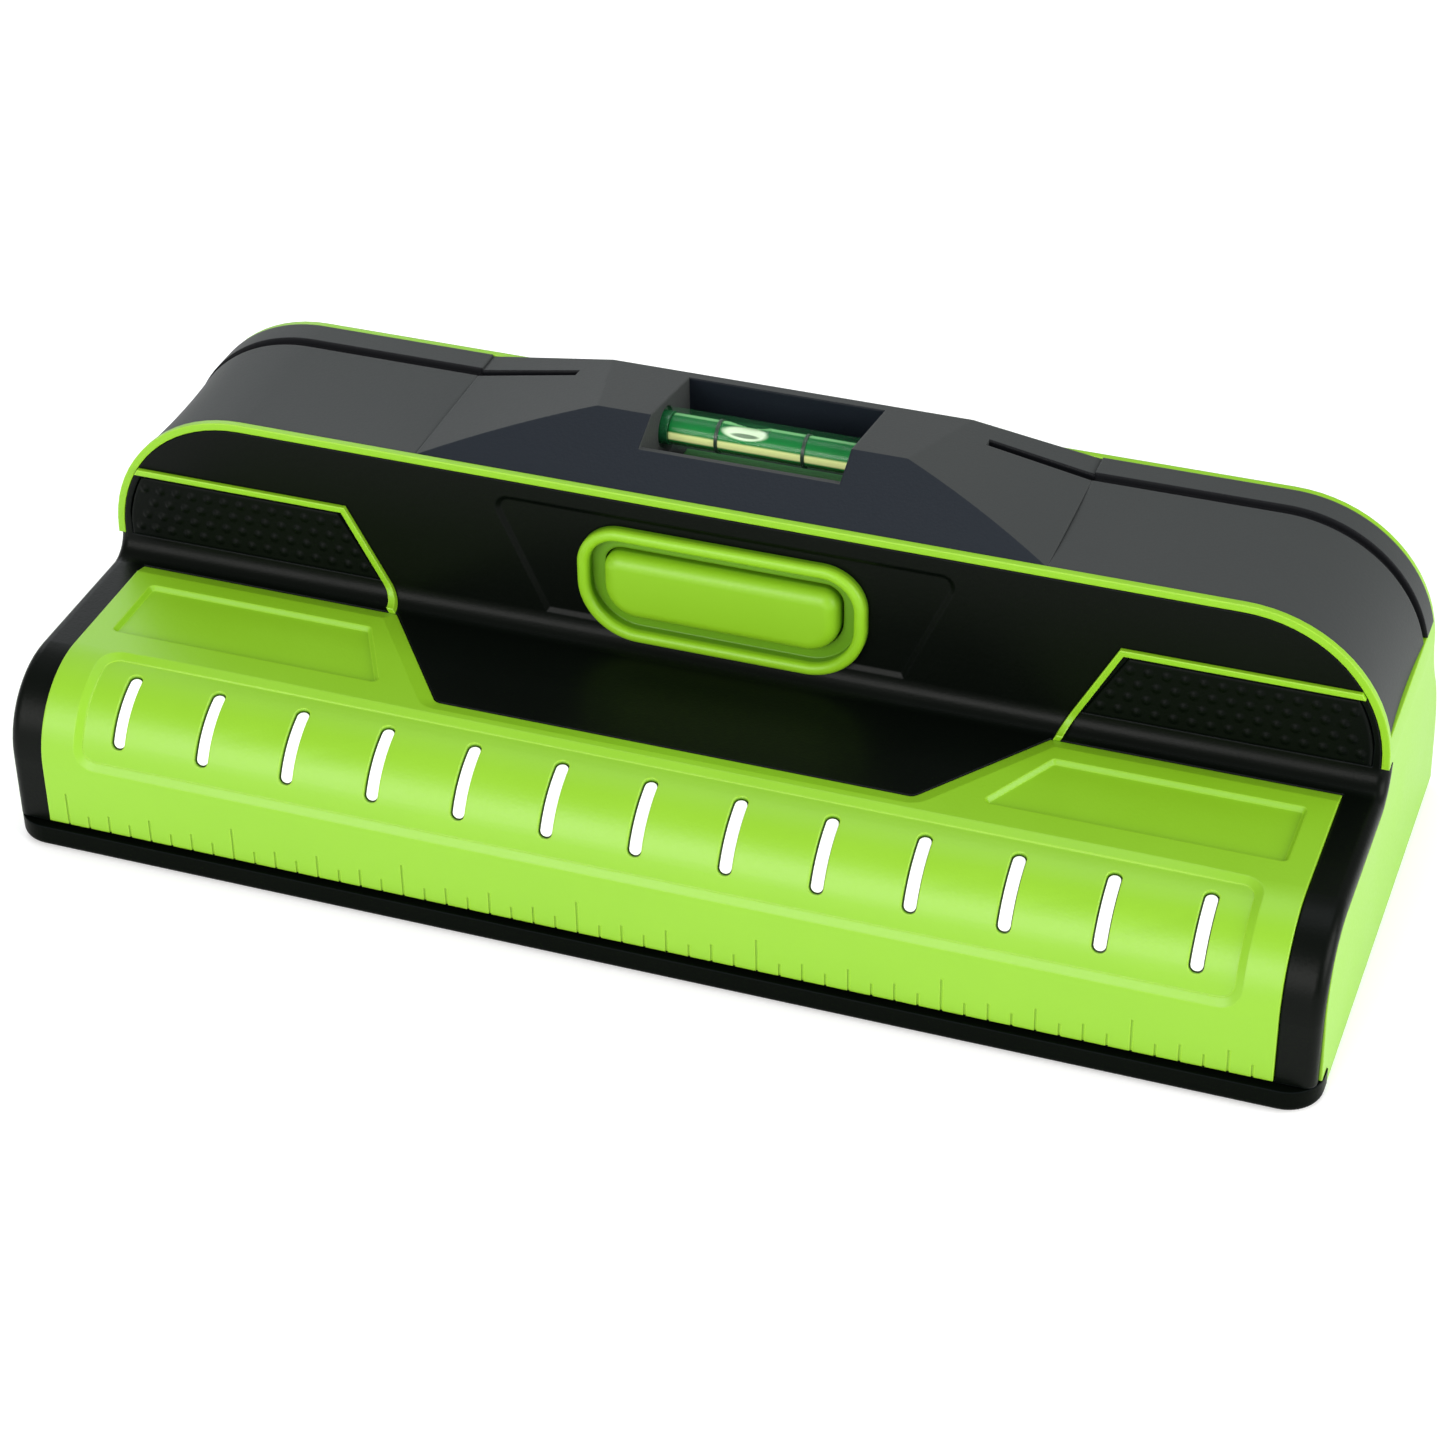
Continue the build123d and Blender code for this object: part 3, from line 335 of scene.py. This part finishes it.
def softTouch(name, darkRamp=False):
    # matt overmould; on the level block the slope towards the ruler side is smooth and darker
    look = softLook
    paint = Paint(name, specularIorLevel=0.16, sheenWeight=0.03, sheenRoughness=0.5)
    cloud, grain, edge = paint.layers(look)
    body = paint.blend(cloud, look["body"], look["pale"])
    # painted highlight: lighter grey along edges
    colour = paint.blend(edge * look["edgeShare"], body, look["edge"])
    roughness = paint.patchy(look, cloud, grain)
    if darkRamp:
        ramp = paint.step(0 - paint.facing("Y"), *look["rampLean"])
        colour = paint.blend(ramp, colour, look["ramp"])
        roughness = roughness - ramp * look["rampGloss"]
    front, rear = look["grooveSpan"]
    y = paint.along("Y")
    outward = paint.along("X").maths("ABSOLUTE")
    # painted shade: a dark band where the groove lies
    groove = (y > front) * (y < rear) * (outward > look["grooveEnd"])
    paint.set(baseColor=paint.blend(groove, colour, look["groove"]), roughness=roughness)
    return paint.pebbled(look, grain)


softTouch("softBand").coat("grip_band_left", "grip_band_right")
softTouch("softBlock", darkRamp=True).coat("level_block")


guideLook = {
    "white": (0.82, 0.84, 0.83),
    "whiter": (0.92, 0.93, 0.92),
    "flange": (0.030, 0.045, 0.008),
    "glow": (0.80, 0.80, 0.80),
    "frost": 0.5 * mm,
    "frostDepth": 0.01 * mm,
    "frostRough": 0.15,
    "roughness": 0.32,
    "edgeRadius": 0.25 * mm,
}


def lightGuide(name):
    # frosted white end with a painted glow; the flange under the plate is painted dark as shade
    look = guideLook
    paint = Paint(name, emissionStrength=0.5)
    frost = paint.speckle(look["frost"])
    end = paint.step(roundReach(paint), *plateShape["guideSpan"])
    white = paint.blend(frost, look["white"], look["whiter"])
    paint.set(baseColor=paint.blend(end, look["flange"], white))
    # painted glow on the white end
    paint.set(emissionColor=paint.blend(end, (0.0, 0.0, 0.0), look["glow"]))
    paint.set(roughness=look["roughness"] + frost * look["frostRough"])
    return paint.bump(frost, look["frostDepth"], look["edgeRadius"])


lightGuide("guide").coat(*[name for name in nodes if name.startswith("light_pipe")])


boardLook = {
    "mask": (0.012, 0.13, 0.045),
    "track": (0.02, 0.20, 0.075),
    "trackCell": 3.5 * mm,
    "trackSpan": (0.42, 0.48),
    "weaveScale": 260.0,
    "weaveRough": 0.1,
    "weaveHeight": 0.3,
    "roughness": 0.30,
    "depth": 0.02 * mm,
    "edgeRadius": 0.1 * mm,
}


def circuitBoard(name):
    look = boardLook
    paint = Paint(name, coatWeight=0.3, coatRoughness=0.2)
    weave = paint.node("ShaderNodeTexWave", {"wave_profile": "SIN"}, {
        "Vector": paint.place(), "Scale": look["weaveScale"], "Distortion": 1.5, "Detail": 1.0,
    })
    tracks = paint.step(paint.cells(look["trackCell"]), *look["trackSpan"])
    paint.set(baseColor=paint.blend(tracks, look["mask"], look["track"]))
    paint.set(roughness=look["roughness"] + weave * look["weaveRough"])
    return paint.bump(weave * look["weaveHeight"] + tracks, look["depth"], look["edgeRadius"])


circuitBoard("board").coat("sensor_board", "indicator_board", "switch_board")


metalLook = {
    "dull": 0.78,
    # painted highlight: edges are painted this much brighter
    "bright": 1.25,
    "edgeShare": 0.5,
    "cloud": 4 * mm,
    "cloudRough": 0.1,
    "grain": 0.4 * mm,
    "grainNoise": (4.0, 0.7),
    "grainRough": 0.25,
    "grainDepth": 0.006 * mm,
    "edgeRadius": 0.15 * mm,
    "bumpRadius": 0.12 * mm,
}
metals = {
    # name: tone, roughness, pieces
    "copper": ((0.78, 0.38, 0.22), 0.32, ["sensor_pads"]),
    "zinc": ((0.50, 0.50, 0.52), 0.34, ["base_screws", "board_screws", "switch_screws"]),
    "nickel": ((0.66, 0.64, 0.60), 0.26,
               ["battery_link", "battery_contact_plus", "battery_contact_minus"]),
}


def metal(name, tone, roughness):
    look = {**metalLook, "roughness": roughness}
    paint = Paint(name, metallic=1.0)
    cloud, grain, edge = paint.layers(look)
    body = paint.blend(cloud, tone, toned(tone, look["dull"]))
    # painted highlight: brighter tone along edges
    paint.set(baseColor=paint.blend(edge * look["edgeShare"], body, toned(tone, look["bright"])))
    paint.set(roughness=paint.patchy(look, cloud, grain))
    return paint.bump(grain, look["grainDepth"], look["bumpRadius"])


for name, (tone, roughness, pieces) in metals.items():
    metal(name, tone, roughness).coat(*pieces)


mouldingLook = {
    "dull": 0.82,
    # painted highlight: edges are painted this much brighter
    "bright": 1.5,
    "brightLift": 0.01,
    "edgeShare": 0.5,
    "cloud": 8 * mm,
    "grain": 0.4 * mm,
    "grainNoise": (2.0, 0.5),
    "grainRough": 0.14,
    "grainDepth": 0.01 * mm,
    "edgeRadius": 0.18 * mm,
}
mouldings = {
    # name: tone, roughness, pieces
    "componentBlack": ((0.02, 0.02, 0.022), 0.45,
                       ["microcontroller", "board_chips", "buzzer", "switch_body",
                        "vial_ring_left", "vial_ring_right"]),
    "plungerWhite": ((0.75, 0.75, 0.72), 0.4, ["switch_plunger"]),
    "backingGreen": ((0.05, 0.22, 0.06), 0.5, ["vial_backing"]),
    "trayGrey": ((0.035, 0.035, 0.04), 0.5, ["battery_tray"]),
    "lampWhite": ((0.85, 0.82, 0.62), 0.25, ["indicator_leds"]),
    "plugClear": ((0.004, 0.075, 0.022), 0.2, ["vial_plug_left", "vial_plug_right"]),
}


def moulded(name, tone, roughness):
    # small moulded parts of one colour
    look = mouldingLook
    paint = Paint(name)
    cloud, grain, edge = paint.layers(look)
    body = paint.blend(cloud, tone, toned(tone, look["dull"]))
    bright = toned(tone, look["bright"], look["brightLift"])
    # painted highlight: brighter tone along edges
    paint.set(baseColor=paint.blend(edge * look["edgeShare"], body, bright))
    paint.set(roughness=roughness + (grain - 0.5) * look["grainRough"])
    return paint.bump(grain, look["grainDepth"], look["edgeRadius"])


for name, (tone, roughness, pieces) in mouldings.items():
    moulded(name, tone, roughness).coat(*pieces)


wrapLook = {
    "sleeve": (0.018, 0.020, 0.026),
    "band": (0.55, 0.27, 0.10),
    "bandSpan": (11.5 * mm, 11.8 * mm),     # the band starts here, along the cell
    "bandMetal": 0.6,
    "roughness": 0.28,
    "grain": 0.6 * mm,
    "grainRough": 0.12,
    "grainDepth": 0.008 * mm,
    "edgeRadius": 0.2 * mm,
}


def cellWrap(name):
    # printed sleeve: dark body with a copper-coloured band at one end
    look = wrapLook
    paint = Paint(name, coatWeight=0.4, coatRoughness=0.15)
    band = paint.step(paint.along("X"), *look["bandSpan"])
    grain = paint.speckle(look["grain"])
    paint.set(baseColor=paint.blend(band, look["sleeve"], look["band"]))
    paint.set(roughness=look["roughness"] + (grain - 0.5) * look["grainRough"])
    paint.set(metallic=band * look["bandMetal"])
    return paint.bump(grain, look["grainDepth"], look["edgeRadius"])


cellWrap("cellWrap").coat("battery_front", "battery_rear")
print("finishes made:", len(bpy.data.materials))


def newPiece(name, points, faces, body, paint, replaced):
    mesh = bpy.data.meshes.new(name)
    mesh.from_pydata(points, [], faces)
    mesh.validate()
    mesh.shade_smooth()
    piece = bpy.data.objects.new(name, mesh)
    bpy.context.scene.collection.objects.link(piece)
    mesh.materials.append(paint.material)
    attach(piece, body)
    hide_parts(*replaced)
    return piece


padShape = {
    "slant": 6.0 * mm,                      # the inner edge leans outwards this much, from foot to top
    "shoulder": (71.5 * mm, 29.2 * mm),     # centre of the rounded outer corner
    "shoulderRadius": 18.6 * mm,
    "step": 0.16 * mm,                      # spacing of the mesh
    "edgeRound": 0.5 * mm,
    "pitch": (2.5 * mm, 2.15 * mm),         # domes along a row, and row above row
    "domeRadius": 0.78 * mm,
    "domeHeight": 0.28 * mm,
    "domeCurve": 1.5,                       # higher draws a dome in towards its middle
    "margin": 1.15 * mm,                    # no dome stands nearer to the pad's edge
}
padLook = {
    "tone": (0.0010, 0.0020, 0.0012),
    "pale": (0.0020, 0.0032, 0.0022),
    "cloud": 12 * mm,
    "grain": 0.28 * mm,
    "grainNoise": (3.0, 0.6),
    "grainRough": 0.2,
    "grainDepth": 0.02 * mm,
    "edgeRadius": 0.1 * mm,
    "roughness": 0.46,
}


def padRubber(name):
    look = padLook
    paint = Paint(name, specularIorLevel=0.06)
    grain = paint.speckle(look["grain"], *look["grainNoise"])
    cloud = paint.speckle(look["cloud"])
    paint.set(baseColor=paint.blend(cloud, look["tone"], look["pale"]))
    paint.set(roughness=look["roughness"] + (grain - 0.5) * look["grainRough"])
    return paint.bump(grain, look["grainDepth"], look["edgeRadius"])


def gripPad(side, node, paint):
    shape = padShape
    low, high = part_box(node)
    inner, outer = sorted((abs(low.x), abs(high.x)))
    foot, top, front, back = low.z, high.z, low.y, high.y
    centreX, centreZ = shape["shoulder"]

    def span(z):
        start = inner + shape["slant"] * (z - foot) / (top - foot)
        rise = max(0.0, z - centreZ)
        return start, min(outer, centreX + sqrt(shape["shoulderRadius"] ** 2 - rise ** 2))

    def clearance(x, z):
        start, end = span(min(max(z, foot), top))
        return min(x - start, end - x, z - foot, top - z)

    pitchX, pitchZ = shape["pitch"]
    rowCount = int((top - foot - 2 * shape["margin"]) / pitchZ) + 1
    firstRow = (foot + top - (rowCount - 1) * pitchZ) / 2

    def dome(x, z):
        # height of the nearest dome over this point; every other row is shifted half a pitch
        row = min(max(round((z - firstRow) / pitchZ), 0), rowCount - 1)
        best = 0.0
        for r in (row - 1, row, row + 1):
            if 0 <= r < rowCount:
                centre = firstRow + r * pitchZ
                shift = inner + (r % 2) * pitchX / 2
                near = shift + round((x - shift) / pitchX) * pitchX
                gap = hypot(x - near, z - centre) / shape["domeRadius"]
                if gap < 1 and clearance(near, centre) > shape["margin"]:
                    best = max(best, (1 - gap ** 2) ** shape["domeCurve"])
        return best * shape["domeHeight"]

    across = int((outer - inner) / shape["step"])
    upwards = int((top - foot) / shape["step"])
    points, faces = [], []
    for j in range(upwards + 1):
        z = foot + (top - foot) * j / upwards
        start, end = span(z)
        for i in range(across + 1):
            x = start + (end - start) * i / across
            edge = max(0.0, 1 - max(0.0, clearance(x, z)) / shape["edgeRound"])
            drop = shape["edgeRound"] * (1 - sqrt(1 - edge ** 2))
            points.append((side * x, front + drop - dome(x, z), z))
    stride = across + 1
    for j in range(upwards):
        for i in range(across):
            corner = j * stride + i
            faces.append((corner, corner + 1, corner + stride + 1, corner + stride))

    # the rim runs round the front and is joined to a flat back
    rim = list(range(across)) + [j * stride + across for j in range(upwards)]
    rim += [upwards * stride + i for i in range(across, 0, -1)]
    rim += [j * stride for j in range(upwards, 0, -1)]
    first = len(points)
    points += [(points[i][0], back, points[i][2]) for i in rim]
    count = len(rim)
    for k in range(count):
        n = (k + 1) % count
        faces.append((rim[n], rim[k], first + k, first + n))
    faces.append(tuple(range(first + count - 1, first - 1, -1)))
    if side < 0:
        faces = [tuple(reversed(face)) for face in faces]
    newPiece(node + "_domed", points, faces, "housing", paint, [node])


padPaint = padRubber("padRubber")
for side, word in ((-1, "left"), (1, "right")):
    gripPad(side, "grip_pad_" + word, padPaint)
print("grip pads made")


vialShape = {
    "wallRound": 0.35 * mm,
    "roundSteps": 4,
    "sharpAngle": pi / 5,           # steeper corners than this stay crisp
    "bubbleAt": -2.4 * mm,          # place of the bubble's middle along the vial
    "bubbleHalf": 3.4 * mm,
    "bubbleWidth": 1.15,            # half its width, as an angle round the vial
    "bubbleDepth": 0.75 * mm,
    "segments": 96,
    "stations": 120,
}
# A height in the liquid is 0 on its axis, 1 at the crest and -1 at the foot, along the upward line.
vialLook = {
    "upward": (0.602, 0.799),       # Y and Z of that line, which leans to the rear
    # painted shading: lighter green low on the front, deeper green towards the top
    "deep": (0.0003, 0.110, 0.020),
    "clear": (0.0006, 0.200, 0.030),
    "deepSpan": (-0.3, 0.6),
    "gleam": (0.78, 0.82, 0.34),    # painted light: a bright stripe where light gathers in the lower front of the liquid
    "gleamStart": (-0.84, -0.72),
    "gleamEnd": (-0.46, -0.30),
    # painted shade: a dark line along the foot of the liquid
    "foot": (0.030, 0.050, 0.004),
    "footSpan": (-0.93, -0.84),
    # painted highlight along the crest of the liquid
    "crest": (0.20, 0.52, 0.20),
    "crestSpan": (0.74, 0.86),
    "drift": 6 * mm,
    "driftHeight": 0.05,
    # painted highlight: the bubble is painted pale
    "bubble": (0.66, 0.82, 0.62),
    "bubbleOval": (0.36, 0.50, 1.0, (0.55, 1.15)),  # middle height, half height, length squared, rim
    "shadow": (0.050, 0.070, 0.030),
    "shadowOval": (0.20, 0.16, 0.40, (0.4, 1.3)),
    "shadowShare": 0.8,
    "dark": (0.0, 0.004, 0.001),
    "glow": 0.35,
    "gleamGlow": 0.8,
    "bubbleGlow": 0.6,
}
tubeLook = {
    "tone": (0.05, 0.35, 0.12),
    "scuff": 1.2 * mm,
    "scuffNoise": (4.0, 0.7),
    "scuffSpan": (0.55, 0.8),
    "scuffDepth": 0.002 * mm,
    "edgeRadius": 0.05 * mm,
    "roughness": 0.05,
    "scuffRough": 0.12,
    "alpha": 0.06,
    "scuffAlpha": 0.02,
}


def clearTube(name):
    # thin clear wall: mostly see-through, with its own gloss
    look = tubeLook
    paint = Paint(name, baseColor=look["tone"], ior=1.42, specularIorLevel=0.3)
    scuff = paint.speckle(look["scuff"], *look["scuffNoise"])
    wear = paint.step(scuff, *look["scuffSpan"])
    paint.set(roughness=look["roughness"] + wear * look["scuffRough"])
    paint.set(alpha=look["alpha"] + wear * look["scuffAlpha"])
    return paint.bump(scuff, look["scuffDepth"], look["edgeRadius"])


def greenLiquid(name, centre, radius):
    # the round column works as a lens; its light is painted: a painted bright stripe, painted
    # highlights on the crest and bubble, painted shade at the foot and in the bubble's core, deeper
    # green towards the top, and a painted glow
    look, shape = vialLook, vialShape
    paint = Paint(name, roughness=0.25, specularIorLevel=0.2, coatWeight=0.12, coatRoughness=0.05)
    acrossShare, upShare = look["upward"]
    across = (paint.along("Y") - centre.y) / radius * acrossShare
    up = (paint.along("Z") - centre.z) / radius * upShare
    height = across + up + (paint.speckle(look["drift"]) - 0.5) * look["driftHeight"]
    place = (paint.along("X") - shape["bubbleAt"]) / shape["bubbleHalf"]

    def oval(middle, half, lengthSquared, rim):
        above = (height - middle) / half
        return 1 - paint.step(place * place / lengthSquared + above * above, *rim)

    gleam = paint.step(height, *look["gleamStart"]) * (1 - paint.step(height, *look["gleamEnd"]))
    bubble = oval(*look["bubbleOval"])
    shadow = oval(*look["shadowOval"])
    # painted shading: lighter low, deeper green towards the top
    colour = paint.blend(paint.step(height, *look["deepSpan"]), look["clear"], look["deep"])
    # painted highlight along the crest
    colour = paint.blend(paint.step(height, *look["crestSpan"]), colour, look["crest"])
    # painted light: the bright stripe
    colour = paint.blend(gleam, colour, look["gleam"])
    # painted shade along the foot
    colour = paint.blend(1 - paint.step(height, *look["footSpan"]), colour, look["foot"])
    # painted highlight on the bubble
    colour = paint.blend(bubble, colour, look["bubble"])
    colour = paint.blend(shadow * look["shadowShare"], colour, look["shadow"])
    # painted glow: the bright stripe and the bubble emit light
    paint.set(baseColor=colour, emissionStrength=look["glow"])
    glow = gleam * look["gleamGlow"] + bubble * (1 - shadow) * look["bubbleGlow"]
    return paint.set(emissionColor=paint.blend(glow, look["dark"], look["gleam"]))


def turned(profile, centre, closed=False):
    # Surface turned about the line along X through centre, from points (x, radius). A radius of 0
    # is a pole that shuts an end, and closed joins the last ring to the first.
    segments = vialShape["segments"]
    points, faces, rings = [], [], []
    for x, radius in profile:
        if radius == 0:
            rings.append([len(points)])
            points.append((x, centre.y, centre.z))
            continue
        rings.append(list(range(len(points), len(points) + segments)))
        for i in range(segments):
            angle = 2 * pi * i / segments
            points.append((x, centre.y + radius * cos(angle), centre.z + radius * sin(angle)))
    following = rings[1:] + rings[:1] if closed else rings[1:]
    for first, second in zip(rings, following):
        for i in range(segments):
            j = (i + 1) % segments
            if len(first) == 1:
                faces.append((first[0], second[j], second[i]))
            elif len(second) == 1:
                faces.append((first[i], first[j], second[0]))
            else:
                faces.append((first[i], first[j], second[j], second[i]))
    return points, faces


def roundedEnds(left, right, radius):
    # outline points (x, radius) of the two rounded corners of a rod, from its left end to its right
    corner, steps = vialShape["wallRound"], vialShape["roundSteps"]
    angles = [a * pi / 2 / steps for a in range(steps + 1)]
    arc = [(corner * (1 - cos(angle)), corner * (1 - sin(angle))) for angle in angles]
    return ([(left + dx, radius - dr) for dx, dr in arc],
            [(right - dx, radius - dr) for dx, dr in reversed(arc)])


def vialTube():
    low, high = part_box("vial_tube")
    centre = (low + high) / 2
    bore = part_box("vial_ring_left")[1].z - centre.z
    left, right = roundedEnds(low.x, high.x, (high.z - low.z) / 2)
    profile = left + right + [(high.x, bore), (low.x, bore)]
    points, faces = turned(profile, centre, closed=True)
    paint = clearTube("vialClear")
    tube = newPiece("vial_tube_clear", points, faces, "housing", paint, ["vial_tube"])
    tube.data.set_sharp_from_angle(angle=vialShape["sharpAngle"])
    return centre


def vialLiquid(centre):
    shape = vialShape
    low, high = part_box("vial_liquid")
    radius = (high.y - low.y) / 2
    corner, stations = shape["wallRound"], shape["stations"]
    length = high.x - low.x - 2 * corner
    left, right = roundedEnds(low.x, high.x, radius)
    middle = [(low.x + corner + length * k / stations, radius) for k in range(1, stations)]
    points, faces = turned([(low.x, 0)] + left + middle + right + [(high.x, 0)], centre)

    def dented(x, y, z):
        # the bubble lies against the top of the tube, where the liquid's surface dips
        y, z = y - centre.y, z - centre.z
        turn = atan2(y, z) / shape["bubbleWidth"]
        reach = ((x - shape["bubbleAt"]) / shape["bubbleHalf"]) ** 2 + turn ** 2
        dip = sqrt(1 - reach) if reach < 1 and hypot(y, z) > radius / 2 else 0.0
        scale = 1 - shape["bubbleDepth"] * dip / radius
        return x, centre.y + y * scale, centre.z + z * scale

    points = [dented(*point) for point in points]
    paint = greenLiquid("vialGreen", centre, radius)
    liquid = newPiece("vial_liquid_green", points, faces, "housing", paint,
                      ["vial_liquid"])
    liquid.data.set_sharp_from_angle(angle=shape["sharpAngle"])


vialCentre = vialTube()
vialLiquid(vialCentre)
print("vial made")


studio = {
    "floorTone": (0.93, 0.93, 0.93),
    "floorCloud": 0.4,              # metres
    "floorDull": 0.985,
    "floorGlow": 0.25,
    "floorHalf": 6.0,
    "floorGap": 0.2 * mm,           # keeps the floor clear of the underside
    "skyTone": (1.0, 1.0, 1.0),
    "skyStrength": 0.42,
}


def floorPaint():
    look = studio
    paint = Paint("paleFloor", specularIorLevel=0.1, roughness=0.8)
    paint.set(emissionColor=look["floorTone"], emissionStrength=look["floorGlow"])
    cloud = paint.speckle(look["floorCloud"])
    dull = toned(look["floorTone"], look["floorDull"])
    return paint.set(baseColor=paint.blend(cloud, look["floorTone"], dull))


half = studio["floorHalf"]
ground = -studio["floorGap"]
corners = [(-half, -half, ground), (half, -half, ground), (half, half, ground), (-half, half, ground)]
floorMesh = bpy.data.meshes.new("floor")
floorMesh.from_pydata(corners, [], [(0, 1, 2, 3)])
floor = bpy.data.objects.new("floor", floorMesh)
bpy.context.scene.collection.objects.link(floor)
floorMesh.materials.append(floorPaint().material)

sky = bpy.data.worlds.new("studio")
bpy.context.scene.world = sky
sky.use_nodes = True
background = sky.node_tree.nodes["Background"]
background.inputs["Color"].default_value = (*studio["skyTone"], 1)
background.inputs["Strength"].default_value = studio["skyStrength"]

lights = {
    # name: place, aim, width and height, watts, tone
    "keyFront": ((-0.30, -1.05, 0.50), (0, 0, 0.02), (0.9, 0.6), 11.5, (1.0, 0.99, 0.97)),
    "sideRight": ((0.95, -0.10, 0.40), (0.05, 0, 0.02), (0.8, 0.6), 9.0, (1.0, 1.0, 0.98)),
    "topSoft": ((0.0, 0.25, 1.1), (0, 0, 0.03), (0.9, 0.6), 3.8, (0.90, 0.95, 1.0)),
    "backLeft": ((-0.7, 0.8, 0.5), (0, 0, 0.03), (0.6, 0.4), 2.5, (0.92, 0.96, 1.0)),
}
for name, (place, aim, size, watts, tone) in lights.items():
    lamp = bpy.data.lights.new(name, "AREA")
    lamp.shape = "RECTANGLE"
    lamp.size, lamp.size_y = size
    lamp.energy = watts
    lamp.color = tone
    holder = bpy.data.objects.new(name, lamp)
    holder.location = place
    holder.rotation_euler = (Vector(aim) - Vector(place)).to_track_quat("-Z", "Y").to_euler()
    bpy.context.scene.collection.objects.link(holder)

cameraLook = {
    "place": (0.1469, -0.4014, 0.3189),
    "right": (0.9421, 0.3352, -0.0138),
    "up": (-0.1836, 0.5497, 0.8150),
    "lens": 93.7,
    "sensor": 36.0,
    "nearest": 0.01,
}
lens = bpy.data.cameras.new("camera")
lens.lens = cameraLook["lens"]
lens.sensor_width = cameraLook["sensor"]
lens.clip_start = cameraLook["nearest"]
camera = bpy.data.objects.new("camera", lens)
right = Vector(cameraLook["right"]).normalized()
back = right.cross(Vector(cameraLook["up"])).normalized()
turn = Matrix((right, back.cross(right), back)).transposed()
camera.matrix_world = Matrix.Translation(cameraLook["place"]) @ turn.to_4x4()
bpy.context.scene.collection.objects.link(camera)
bpy.context.scene.camera = camera
bpy.context.scene.view_settings.view_transform = "Standard"
print("stage made")
